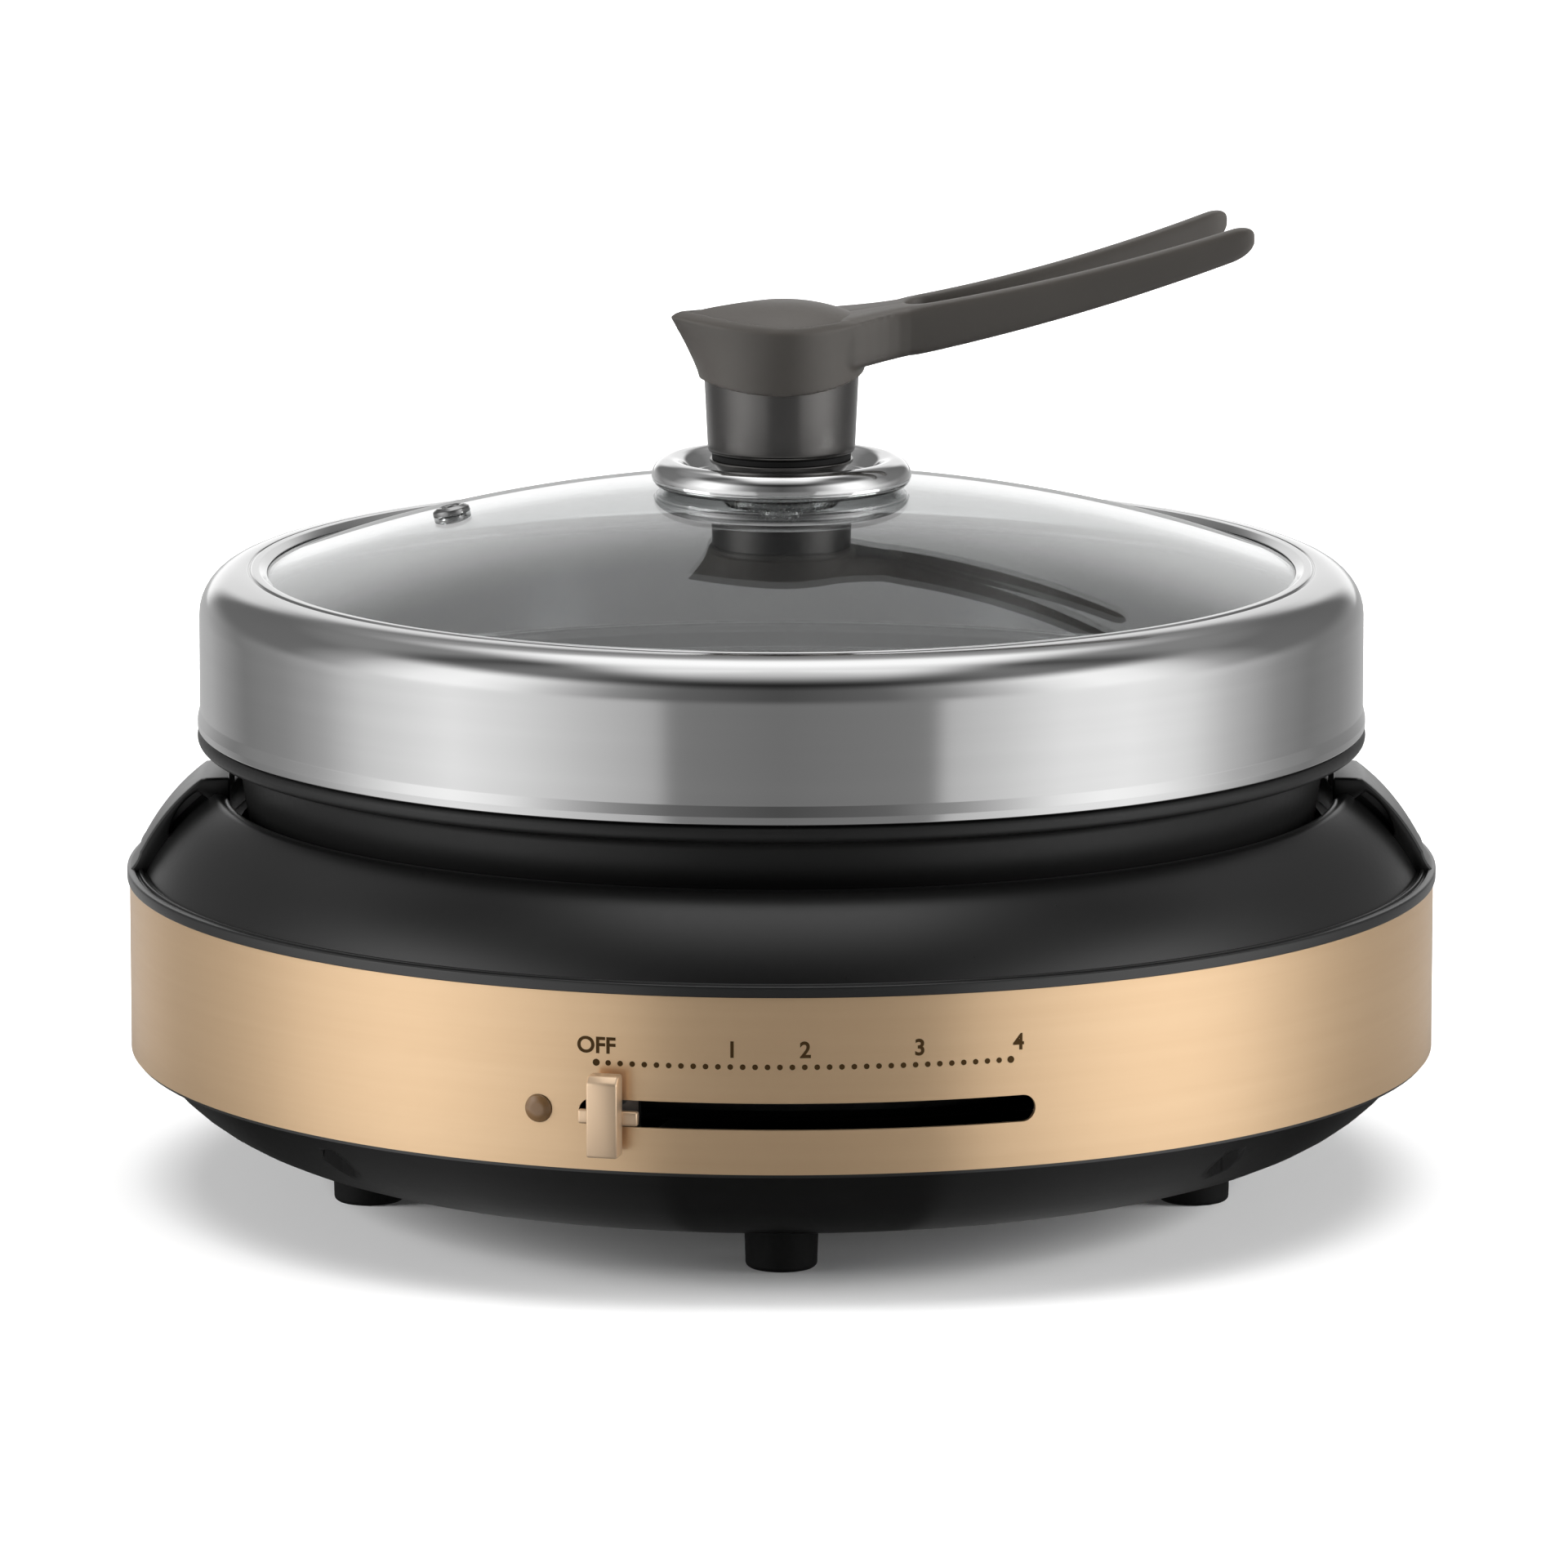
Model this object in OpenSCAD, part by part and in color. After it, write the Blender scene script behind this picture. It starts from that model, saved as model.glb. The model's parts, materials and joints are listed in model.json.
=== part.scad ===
// Round countertop multicooker: a gold-banded heating base, a lift-out pan and a glass lid with a forked handle.
// Millimetres. +Z is up, -Y is the front, and the origin lies on the table under the middle of the base.

/* [Base] */
// Height of the feet under the tray
foot_h = 13; // [8:0.5:20]
// Radius of a foot
foot_r = 10; // [7:0.5:14]
// How far the feet stand in from the edge of the tray's flat bottom
foot_inset = 19; // [15:1:35]
// How far the tray's flat bottom ends inside the band's outer face
tray_flare = 42; // [34:1:52]
// Height of the tray, from its bottom to the band
tray_h = 25; // [20:0.5:30]
// Wall of the moulded tray
tray_wall = 2.5; // [1.5:0.1:3.5]
// How far the tray's side bows out
tray_bow = 4.5; // [2:0.5:6]
// How far the metal band stands out from the pan's wall
band_reach = 30.4; // [27:0.1:40]
// Height of the metal band
band_h = 47.3; // [42:0.1:56]
// Thickness of the metal band
band_t = 1.2; // [0.8:0.1:2]
// Number of air slots in the tray's bottom
vent_count = 24; // [12:2:30]

/* [Top guard] */
// How far the guard's flange stands proud of the band
flange_proud = 0.7; // [0:0.1:2]
// Thickness of the flange
flange_h = 3.2; // [2.5:0.1:5]
// How far the shoulder starts inside the band's outer face
shoulder_inset = 4.5; // [3.5:0.1:8]
// How far the shoulder bows out
shoulder_bow = 1.6; // [0.5:0.1:4]
// Gap between the pan's wall and the guard's mouth
pan_gap = 2.7; // [1.5:0.1:6]
// Drop from the underside of the pan's rim to the guard's crest
crest_drop = 13; // [10:0.5:18]
// Depth of the mouth's inner lip under the crest
lip_h = 10; // [8:0.5:12]
// Wall of the moulded guard
guard_wall = 2.5; // [1.8:0.1:3.5]
// Half the width of a strap ear
ear_half_w = 16; // [12:0.5:30]
// Height of an ear's top over the crest
ear_rise = 4.2; // [3.4:0.1:7]
// Thickness of an ear's strap
strap_t = 2.2; // [1.6:0.1:3]

/* [Heater] */
// Height of the lever arm over the tray's floor
arm_lift = 16.5; // [15:0.5:22]
// Room between the lever arm and the heat shield
arm_gap = 9.5; // [8:0.5:14]
// Thickness of the heat shield's sheet
shield_t = 1.2; // [0.8:0.1:2]
// Room between the heat shield and the heater plate
plate_gap = 10.8; // [9:0.2:16]
// Radius of the cast heater plate
plate_r = 100; // [90:1:115]
// Thickness of the cast heater plate
plate_t = 10; // [8:0.5:14]
// How far the element's ring lies inside the plate's edge
element_inset = 22; // [19:0.5:30]
// Radius of the element's tube
element_tube_r = 4; // [3:0.1:5]
// Angle left open between the element's ends
element_open = 30; // [24:1:50]
// Radius of a post
post_r = 5; // [4.6:0.1:6]

/* [Pan] */
// Outer radius of the pan's wall at the top
pan_top_r = 149.6; // [145:0.1:153]
// How far the pan's wall leans in from top to bottom
pan_lean = 7.6; // [3:0.1:12]
// Depth of the pan outside, from seat to ledge
pan_depth = 60.9; // [52:0.1:70]
// Wall of the pan
pan_wall = 3; // [2:0.1:4]
// Thickness of the pan's floor
pan_floor_t = 4; // [3:0.1:6]
// Radius of the pan's outer bottom corner
pan_corner = 10; // [8:0.5:16]
// How far the rim stands out from the wall
rim_reach = 11.4; // [9:0.1:14]
// Thickness of the rim
rim_t = 4.7; // [3.5:0.1:6]
// Height of the rim's upstand, which centres the lid
upstand_h = 2.8; // [2:0.1:4]

/* [Lid] */
// How far the lid's wall stands in from the pan's rim
lid_inset = 0.8; // [0.4:0.1:1.6]
// Height of the lid's upright wall
lid_wall_h = 32.3; // [24:0.1:42]
// Radius of the lid's rounded shoulder
lid_round = 11; // [8:0.5:13]
// Thickness of the lid's steel sheet
lid_t = 1; // [0.7:0.1:1.2]
// Width of the steel ring, from the lid's wall to the glass
lid_ring_w = 18.2; // [17:0.1:24]
// Thickness of the glass
glass_t = 4; // [3:0.1:5]
// Rise of the glass dome
glass_rise = 24.5; // [18:0.5:32]
// Distance of the steam vent from the middle
vent_from_axis = 91; // [60:1:115]
// Direction of the steam vent
vent_angle = 176; // [0:1:359]
// Radius of the steam vent's hole
vent_bore_r = 2.4; // [1.5:0.1:3]

/* [Knob] */
// Radius of the bright disc on the glass
disc_r = 35.7; // [30:0.1:42]
// Thickness of the disc's rounded edge
disc_edge = 8.4; // [7:0.1:11]
// Height of the disc's tapered collar over its crown
collar_h = 1.3; // [1:0.1:4]
// Radius at the stem's bottom
stem_low_r = 20.2; // [18:0.1:22]
// Radius at the stem's top
stem_top_r = 21.4; // [20:0.1:24]
// Height of the stem
stem_h = 25.8; // [21:0.2:32]
// Thickness of the gasket under the stem
stem_gasket_t = 1.7; // [0.8:0.1:2.5]

/* [Handle] */
// Direction in which the tail points
handle_turn = 9; // [0:1:90]
// Wall of the skirt round the stem's top
skirt_wall = 0.9; // [0.7:0.1:2]
// Height from the skirt's lowest edge to the dip in the head's rim
head_h = 18; // [16:0.2:24]
// Half the width of the head
head_half_w = 22.6; // [20:0.2:26]
// Length of the beak from the stem's axis
beak_len = 31; // [26:0.2:36]
// Rise of the beak over the dip in the rim
beak_rise = 2.8; // [1.5:0.1:5]
// Height of the dome cap over the dip in the rim
cap_rise = 6.6; // [4:0.1:8]
// Length of the tail from the stem's axis
tail_len = 128; // [105:0.5:150]
// Extra lift of the tail's tip
tail_lift = 16.3; // [6:0.1:22]
// Height of the tail's section at its tip
tip_h = 8.6; // [7:0.1:13]
// Half the width of the tail's neck
neck_half_w = 11; // [9:0.1:14]
// Half the width of the fork at its tip
fork_half_w = 21.7; // [16:0.1:26]
// Thickness of a prong
prong_w = 4.8; // [3.5:0.1:6]
// Where the fork starts, from the stem's axis
fork_start = 34.2; // [33.5:0.1:50]

/* [Heat lever] */
// Height of the slot's middle over the band's lower edge
slot_rise = 17.4; // [14:0.2:24]
// Height of the slot
slot_h = 6.7; // [5:0.1:9]
// Angle of the lever at rest, from the front
lever_off = -15; // [-25:0.5:-10]
// Angle that the lever sweeps
lever_sweep = 34; // [25:1:45]
// Width of the lever's arm
arm_w = 10; // [7:0.5:14]
// Thickness of the lever's arm
arm_t = 2.5; // [1.5:0.1:3]
// Width of the lever's tab
tab_w = 8.4; // [7.5:0.1:14]
// Height of the lever's tab
tab_h = 19.6; // [16:0.1:28]
// How far the tab stands out from the band
tab_out = 9.6; // [7:0.1:13]
// Width of the bar behind the tab
bar_w = 16.2; // [12:0.1:20]
// Angle of the lamp from the front
lamp_angle = -20.4; // [-32:0.2:-19.6]
// Radius of the lamp's lens
lens_r = 3.7; // [2.5:0.1:4.5]

/* [Mains inlet] */
// Width of the inlet's flange
inlet_w = 56; // [50:1:64]
// Height of the inlet's flange
inlet_h = 34; // [30:1:40]
// Width of the socket
socket_w = 32; // [28:1:36]
// Height of the socket
socket_h = 20; // [16:1:22]
// Depth of the socket
socket_depth = 19; // [15:0.5:21]
// Radius of an inlet pin
pin_r = 2; // [1.5:0.1:2.4]

/* [Hidden] */
$fn = 96;
// Clearances
fit = 0.3;
shaft_fit = 0.08;
touch = 0.05;
deep = 400;
// Counts that go with the list of nodes
foot_count = 5;
post_count = 3;
// Levels of the base, from the table up
tray_z = foot_h;
floor_z = tray_z + tray_wall;
band_z = tray_z + tray_h;
band_top_z = band_z + band_h;
arm_z = floor_z + arm_lift;
shield_z = arm_z + arm_t + arm_gap;
plate_z = shield_z + shield_t + plate_gap;
seat_z = plate_z + plate_t;
slot_z = band_z + slot_rise;
joint_z = band_z + 12;
// Levels of the pan and the guard
ledge_z = seat_z + pan_depth;
rim_z = ledge_z - rim_t;
crest_z = rim_z - crest_drop;
lip_z = crest_z - lip_h;
ear_z = crest_z + ear_rise;
inner_floor_z = seat_z + pan_floor_t;
flare_h = 4.6;
// Radii of the base
band_r = pan_top_r + band_reach;
tray_bottom_r = band_r - tray_flare;
band_in_r = band_r - band_t;
spigot_r = band_in_r - fit;
spigot_h = 6;
ledge_t = 1;
ledge_r = band_r - 0.8;
bowl_top_r = band_r - 5;
foot_ring_r = tray_bottom_r - foot_inset;
plug_r = 3.8;
well_r = pan_top_r + pan_gap;
cavity_r = (well_r + guard_wall + band_in_r) / 2;
boss_r = 5.5;
tube_r = 6.5;
screw_r = 1.75;
screw_head_r = 4.2;
screw_head_h = 3;
screw_angles = [45, 135, 225, 315];
flange_r = band_r + flange_proud;
shoulder_r = band_r - shoulder_inset;
groove_d = 1;
// The heater's parts
pan_base_r = pan_top_r - pan_lean;
floor_lap = 4;
pan_floor_r = pan_base_r - pan_corner + floor_lap;
shield_floor_r = pan_base_r + 5;
shield_hole_r = 34;
shield_corner = 6;
element_ring_r = plate_r - element_inset;
element_z = plate_z + 1;
element_end_r = element_tube_r + 1;
element_end_z = shield_z - 6;
terminal_r = 1.5;
terminal_h = 9;
post_ring_r = plate_r - 8;
post_boss_r = post_r + 2;
post_boss_h = 4.5;
post_neck_r = post_r - 1.4;
stud_r = 1.8;
stud_h = 5;
strap_w = 16;
strap_len = 60;
strap_sheet = 1.5;
strap_screw_x = 24;
strap_head_r = 3.6;
strap_head_h = 2.4;
thermostat_r = 15;
bush_r = 6;
spindle_r = 3;
hub_r = 9;
hub_z = arm_z - 4;
hub_top_z = arm_z + arm_t + 1.5;
bush_z = hub_top_z + 1;
thermostat_z = bush_z + 3;
pivot_boss_r = 8;
pivot_z = floor_z + 6.5;
crank_r = cavity_r - 3;
fuse_r = 2.6;
block_size = [44, 14, 12];
block_y = foot_ring_r - 10;
base_screw_l = 20;
// The lid's parts
rim_r = pan_top_r + rim_reach;
lid_z = ledge_z + fit;
lid_r = rim_r - lid_inset;
lid_shoulder_z = lid_z + lid_wall_h;
lid_top_z = lid_shoulder_z + lid_round;
hem_r = rim_r - 0.1;
lid_sag = lid_round * (1 - cos(45));
bead_r = lid_r - lid_ring_w + 3.2;
gasket_r = lid_r - lid_ring_w + 1.3;
glass_r = lid_r - lid_ring_w;
glass_edge_z = lid_top_z - 3.5;
dome_r = (glass_r * glass_r + glass_rise * glass_rise) / (2 * glass_rise);
apex_z = glass_edge_z + glass_rise;
dome_z = apex_z - dome_r;
glass_low_z = dome_z + sqrt(pow(dome_r - glass_t, 2) - glass_r * glass_r);
vent_tilt = asin(vent_from_axis / dome_r);
// The knob's parts
bolt_r = 3;
bolt_head_r = 6;
seal_r = disc_r - 7.5;
disc_z = dome_height(seal_r) + 0.15;
disc_low_z = dome_height(disc_r - 4) + 0.15;
seal_top_z = disc_z + 2;
disc_top_z = disc_z + disc_edge;
collar_low_r = stem_low_r - 3.8;
collar_top_r = stem_low_r - 0.5;
gasket_z = disc_top_z + collar_h;
stem_z = gasket_z + stem_gasket_t;
stem_top_z = stem_z + stem_h;
washer_r = 16;
washer_z = dome_z + sqrt(pow(dome_r - glass_t, 2) - washer_r * washer_r) - touch;
washer_t = 2;
// The handle's parts, with u along the tail and v across it
skirt_r = stem_top_r + fit + skirt_wall;
skirt_z = stem_top_z - 8.5;
skirt_wave = 4.2;
skirt_tilt = 1;
dip_z = skirt_z + head_h;
dip_u = -2;
neck_u = 34;
rise_u = 4;
rise_run = 36;
rim_bevel_h = 2.1;
bevel_u = 8;
bevel_run = 22;
head_end_u = 33;
pocket_z = dip_z - 3.2;
cap_inset = 2.6;
cap_short = 5.4;
cap_tail = 20.4;
apex_cap_z = dip_z + cap_rise;
tail_low_z = stem_top_z - 4.7;
tail_slope = 0.1345;
root_h = 15.6;
head_points = 16;
head_rings = 6;
prong_points = 20;
tip_round = 6;
slot_round = 7;
prong_lap = 3.5;
// The lever's and the lamp's parts
neck_w = 6;
bar_h = 4;
bar_t = 2.6;
tab_drop = 0.9;
tab_edge = 1.4;
slot_start = lever_off - 1.6;
slot_end = lever_off + lever_sweep + 1.6;
slot_over = 0.15;
slot_end_r = slot_h / 2 + 0.1;
lamp_r = lens_r + 0.6;
lamp_pin_rows = [-2.5, 2.5];
lamp_depth = 19;
lamp_pin_l = 4;
// The inlet's parts
inlet_z = band_z + band_h / 2;
inlet_flange_t = 5;
inlet_face_y = band_r + 2.2;
inlet_wall = 3;
inlet_back_y = inlet_face_y - socket_depth - inlet_wall;
pin_pitch = 8;
pin_tail = 3;
lead_r = 1.3;
lead_sides = 8;
inlet_screw_x = inlet_w / 2 - 5;
inlet_screw_l = 9;

// Points on an arc from p to q that bulges s to the left of the way
function bow(p, q, s, n = 8) =
    let (
        d = q - p,
        c = norm(d),
        side = [-d.y, d.x] / c,
        r = (c * c / 4 + s * s) / (2 * s),
        o = (p + q) / 2 + side * (s - r),
        a = atan2(p.y - o.y, p.x - o.x),
        b = atan2(q.y - o.y, q.x - o.x),
        turn = (b - a + 900) % 360 - 180
    )
    [for (i = [0 : n]) o + abs(r) * [cos(a + turn * i / n), sin(a + turn * i / n)]];

// A blend of two values, and a soft step from 0 to 1
function mix(a, b, t) = a + (b - a) * t;
function clamp(t) = min(1, max(0, t));
function soft(t) = clamp(t) * clamp(t) * (3 - 2 * clamp(t));

// Height of the glass dome's outside at a distance from the axis
function dome_height(r) = dome_z + sqrt(dome_r * dome_r - r * r);

// A solid of revolution about Z
module turned(points) {
    rotate_extrude() polygon(points);
}

// Places children with their +Z pointing out of the band at an angle from the front
module out_of_band(angle, z) {
    rotate([0, 0, angle]) translate([0, 0, z]) rotate([90, 0, 0]) children();
}

// A closed skin over rings of equal point counts, first ring to last
module skin(rings) {
    n = len(rings[0]);
    m = len(rings);
    sides = [
        for (j = [0 : m - 2], i = [0 : n - 1])
            each [
                [j * n + i, (j + 1) * n + i, j * n + (i + 1) % n],
                [j * n + (i + 1) % n, (j + 1) * n + i, (j + 1) * n + (i + 1) % n]
            ]
    ];
    ends = [
        [for (i = [0 : n - 1]) i],
        [for (i = [n - 1 : -1 : 0]) (m - 1) * n + i]
    ];
    polyhedron([for (r = rings) each r], concat(sides, ends));
}

// A round lead along points chosen by hand
module lead(path) {
    last = len(path) - 1;
    ways = [for (i = [0 : last]) path[min(last, i + 1)] - path[max(0, i - 1)]];
    rings = [
        for (i = [0 : last])
            let (
                w = ways[i] / norm(ways[i]),
                level = abs(w.z) > 0.9 ? [1, 0, 0] : [0, 0, 1],
                a = cross(level, w) / norm(cross(level, w)),
                b = cross(w, a)
            )
            [for (k = [0 : lead_sides - 1])
                let (t = 360 * k / lead_sides)
                path[i] + lead_r * (cos(t) * a + sin(t) * b)]
    ];
    skin(rings);
}

// Outline of the tray's outer side, from its bottom to the band
function tray_side() = bow([tray_bottom_r, tray_z], [bowl_top_r, band_z - ledge_t], -tray_bow);

// Everything inside the tray's outer side, up to a height
module tray_room(top_z) {
    turned(concat([[0, tray_z]], tray_side(), [[spigot_r, band_z], [spigot_r, top_z], [0, top_z]]));
}

module base_tray() {
    run = [bowl_top_r - tray_bottom_r, tray_h - ledge_t];
    square_off = tray_wall * [-run.y, run.x] / norm(run);
    inner_top = [bowl_top_r, band_z - ledge_t] + square_off;
    inner_low = [tray_bottom_r - tray_wall * tan(atan2(run.y, run.x) / 2), floor_z];
    slot_in = 58;
    slot_out = post_ring_r - post_boss_r - 3;
    color("#222425") difference() {
        union() {
            turned(concat(
                [[0, tray_z]],
                tray_side(),
                [[ledge_r, band_z - ledge_t], [ledge_r, band_z], [spigot_r, band_z]],
                [[spigot_r, band_z + spigot_h], [spigot_r - tray_wall, band_z + spigot_h]],
                [[spigot_r - tray_wall, inner_top.y + 0.4]],
                bow(inner_top, inner_low, tray_bow),
                [[0, floor_z]]
            ));
            translate([0, 0, tray_z]) cylinder(r = pivot_boss_r, h = pivot_z - tray_z);
            posts() translate([0, 0, tray_z]) cylinder(r = post_boss_r, h = tray_wall + post_boss_h);
            intersection() {
                screws() translate([0, 0, tray_z]) cylinder(r = tube_r, h = joint_z - tray_z);
                tray_room(joint_z);
            }
        }
        translate([0, 0, floor_z + 1.5]) cylinder(r = spindle_r + shaft_fit, h = deep);
        posts() translate([0, 0, floor_z + 1]) cylinder(r = stud_r + fit, h = deep);
        screws() translate([0, 0, -1]) cylinder(r = screw_head_r + fit, h = joint_z - spigot_h + 1);
        screws() translate([0, 0, -1]) cylinder(r = screw_r + fit, h = deep);
        for (i = [1 : foot_count]) at_foot(i) translate([0, 0, tray_z - 1]) cylinder(r = plug_r + fit, h = deep);
        for (i = [0 : vent_count - 1])
            rotate([0, 0, (i + 0.5) * 360 / vent_count])
                translate([slot_in, -1.8, tray_z - 1])
                    cube([slot_out - slot_in, 3.6, tray_wall + 2]);
    }
}

module at_foot(i) {
    rotate([0, 0, -90 + (i - 1) * 360 / foot_count]) translate([foot_ring_r, 0, 0]) children();
}

module posts() {
    for (i = [1 : post_count]) at_post(i) children();
}

module at_post(i) {
    rotate([0, 0, (i - 1) * 360 / post_count]) translate([post_ring_r, 0, 0]) children();
}

module screws() {
    for (a = screw_angles) rotate([0, 0, a]) translate([cavity_r, 0, 0]) children();
}

// A rubber foot with a plug that snaps through the tray
module foot(i) {
    neck_top = floor_z + fit;
    color("#1b1b1c") at_foot(i) turned([
        [0, 0], [foot_r - 1.2, 0], [foot_r - 0.4, 0.8], [foot_r, foot_h], [plug_r, foot_h],
        [plug_r, neck_top], [plug_r + 1.6, neck_top], [plug_r - 0.6, neck_top + 3.4], [0, neck_top + 3.4]
    ]);
}

module side_band() {
    color("#d2ae87") difference() {
        translate([0, 0, band_z]) difference() {
            cylinder(r = band_r, h = band_h);
            translate([0, 0, -1]) cylinder(r = band_in_r, h = band_h + 2);
        }
        rotate([0, 0, -90 + slot_start - slot_over])
            rotate_extrude(angle = slot_end - slot_start + 2 * slot_over)
                translate([band_in_r - 5, slot_z - slot_h / 2])
                    square([band_t + 10, slot_h]);
        for (a = [slot_start, slot_end])
            out_of_band(a, slot_z) translate([0, 0, band_in_r - 5]) cylinder(r = slot_end_r, h = band_t + 10);
        out_of_band(lamp_angle, slot_z) cylinder(r = lens_r + 0.1, h = deep);
        translate([-inlet_body_w() / 2 - fit, 0, inlet_z - inlet_body_h() / 2 - fit])
            cube([inlet_body_w() + 2 * fit, deep, inlet_body_h() + 2 * fit]);
        for (x = [-inlet_screw_x, inlet_screw_x])
            translate([x, 0, inlet_z]) rotate([-90, 0, 0]) cylinder(r = screw_r + fit, h = deep);
    }
}

// Outline of the guard's outside, from the flange over the crest to the lip's lower edge
function guard_outside() = concat(
    [[flange_r, band_top_z], [flange_r, band_top_z + flange_h - 0.8], [flange_r - 0.8, band_top_z + flange_h]],
    [[shoulder_r + 1.6, band_top_z + flange_h], [shoulder_r + 0.8, band_top_z + flange_h - groove_d]],
    bow([shoulder_r, band_top_z + flange_h - groove_d], [well_r + 4.5, crest_z - 0.6], -shoulder_bow),
    bow([well_r + 3.6, crest_z - 0.15], [well_r, crest_z - 2.4], -0.9, 4),
    [[well_r, lip_z]]
);

// Outline of an ear in a plane through the axis, with its strap, and the gap under the strap
function strap_outside() = concat(
    bow([flange_r - 0.5, band_top_z + flange_h - 0.6], [shoulder_r + 1.6, band_top_z + 8], 0.5, 4),
    bow([shoulder_r + 1.1, band_top_z + 8.7], [well_r + 7.9, ear_z - 0.2], -1.4),
    [[well_r + 6.5, ear_z], [well_r, ear_z]]
);
function strap_gap() = concat(
    bow([shoulder_r - 6.3, band_top_z + 13.1], [well_r + 8.9, ear_z - strap_t - 1.4], -1.6),
    [[well_r + 6, crest_z - 1.5], [well_r + 4, lip_z], [shoulder_r - 6, band_top_z]]
);

module top_guard() {
    inner = [shoulder_r - guard_wall - 0.4, band_top_z];
    inner_crest = [well_r + guard_wall + 1.4, crest_z - guard_wall - 0.6];
    outside = guard_outside();
    color("#232526") difference() {
        union() {
            turned(concat(
                outside,
                [[well_r + guard_wall, lip_z], [well_r + guard_wall, crest_z - guard_wall - 2.6]],
                bow(inner_crest, inner, shoulder_bow),
                [[spigot_r - guard_wall, band_top_z], [spigot_r - guard_wall, band_top_z - spigot_h]],
                [[spigot_r, band_top_z - spigot_h], [spigot_r, band_top_z]]
            ));
            difference() {
                intersection() {
                    turned(concat(strap_outside(), [[well_r, crest_z - 4], [shoulder_r - 3, band_top_z + 1]]));
                    translate([-deep, -ear_half_w, 0]) cube([2 * deep, 2 * ear_half_w, deep]);
                }
                turned(strap_gap());
                turned(concat(
                    [[well_r + guard_wall, lip_z - 1], [well_r + guard_wall, crest_z - guard_wall - 2.6]],
                    bow(inner_crest, inner, shoulder_bow)
                ));
            }
            intersection() {
                screws() translate([0, 0, joint_z]) cylinder(r = boss_r, h = deep);
                turned(concat(
                    bow([inner.x + 1, band_top_z + 0.6], inner_crest + [0.6, 0.8], -shoulder_bow),
                    [[well_r + guard_wall, joint_z], [inner.x + 1, joint_z]]
                ));
            }
        }
        screws() translate([0, 0, joint_z - 1]) cylinder(r = screw_r + touch, h = 24);
    }
}

// The shield's wall, from its rounded corner up to a flange under the guard
module heat_shield() {
    flange_in_r = well_r - 1.3;
    flange_out_r = well_r + guard_wall - touch;
    bottom = [shield_floor_r, shield_z];
    color("#b9bbbd") turned(concat(
        bow(bottom - [shield_corner, 0], bottom + [0.3, shield_corner], -1.6, 5),
        [[flange_in_r, lip_z - shield_t], [flange_out_r, lip_z - shield_t], [flange_out_r, lip_z]],
        [[flange_in_r - shield_t, lip_z]],
        bow(bottom + [0.3 - shield_t, shield_corner], bottom + [-shield_corner, shield_t], 1.6, 5)
    ));
}

// The shield's flat floor, open round the thermostat
module shield_floor() {
    edge_r = shield_floor_r - shield_corner;
    color("#b9bbbd") translate([0, 0, shield_z]) difference() {
        cylinder(r = edge_r, h = shield_t);
        translate([0, 0, -1]) cylinder(r = shield_hole_r, h = shield_t + 2);
        posts() translate([0, 0, -1]) cylinder(r = post_neck_r + fit, h = shield_t + 2);
        element_ends() translate([0, 0, -1]) cylinder(r = element_end_r + 1, h = shield_t + 2);
    }
}

module element_ends() {
    for (a = [90 - element_open / 2, 90 + element_open / 2])
        rotate([0, 0, a]) translate([element_ring_r, 0, 0]) children();
}

module heater_plate() {
    color("#8f9295") difference() {
        turned([
            [0, plate_z], [plate_r - 1, plate_z], [plate_r, plate_z + 1], [plate_r, seat_z - 1.5],
            [plate_r - 1.5, seat_z], [0, seat_z]
        ]);
        rotate_extrude() translate([element_ring_r, element_z]) circle(r = element_tube_r + 0.2);
        element_ends() translate([0, 0, plate_z - 1]) cylinder(r = element_end_r + 0.4, h = element_tube_r + 3);
        posts() translate([0, 0, plate_z - 1]) cylinder(r = stud_r + fit, h = stud_h + 2);
        strap_screws() translate([0, 0, plate_z - 1]) cylinder(r = stud_r + fit, h = stud_h + 2);
    }
}

module heating_element() {
    color("#6d6f70") union() {
        rotate([0, 0, 90 + element_open / 2])
            rotate_extrude(angle = 360 - element_open)
                translate([element_ring_r, element_z])
                    circle(r = element_tube_r);
        element_ends() translate([0, 0, element_end_z])
            cylinder(r = element_end_r, h = element_z + element_tube_r - 0.4 - element_end_z);
    }
}

module element_terminals() {
    color("#c9b072") element_ends() translate([0, 0, element_end_z - terminal_h])
        cylinder(r = terminal_r, h = terminal_h);
}

// A shouldered post from the tray's boss, through the shield, to the heater plate
module heater_post(i) {
    boss_z = floor_z + post_boss_h;
    color("#a3a6a8") at_post(i) turned([
        [0, floor_z + 1.2], [stud_r, floor_z + 1.2], [stud_r, boss_z], [post_r, boss_z], [post_r, shield_z],
        [post_neck_r, shield_z], [post_neck_r, plate_z], [stud_r, plate_z], [stud_r, plate_z + stud_h],
        [0, plate_z + stud_h]
    ]);
}

module strap_screws() {
    for (x = [-strap_screw_x, strap_screw_x]) translate([x, 0, 0]) children();
}

module thermostat_bracket() {
    strap_z = plate_z - strap_sheet;
    color("#b4b6b8") difference() {
        translate([-strap_len / 2, -strap_w / 2, strap_z]) cube([strap_len, strap_w, strap_sheet]);
        strap_screws() translate([0, 0, strap_z - 1]) cylinder(r = stud_r + fit, h = strap_sheet + 2);
    }
}

module bracket_screws() {
    head_z = plate_z - strap_sheet;
    color("#c2c4c6") strap_screws() turned([
        [0, head_z - strap_head_h], [strap_head_r - 0.6, head_z - strap_head_h],
        [strap_head_r, head_z - strap_head_h + 0.8], [strap_head_r, head_z], [stud_r, head_z],
        [stud_r, plate_z + stud_h], [0, plate_z + stud_h]
    ]);
}

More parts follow.
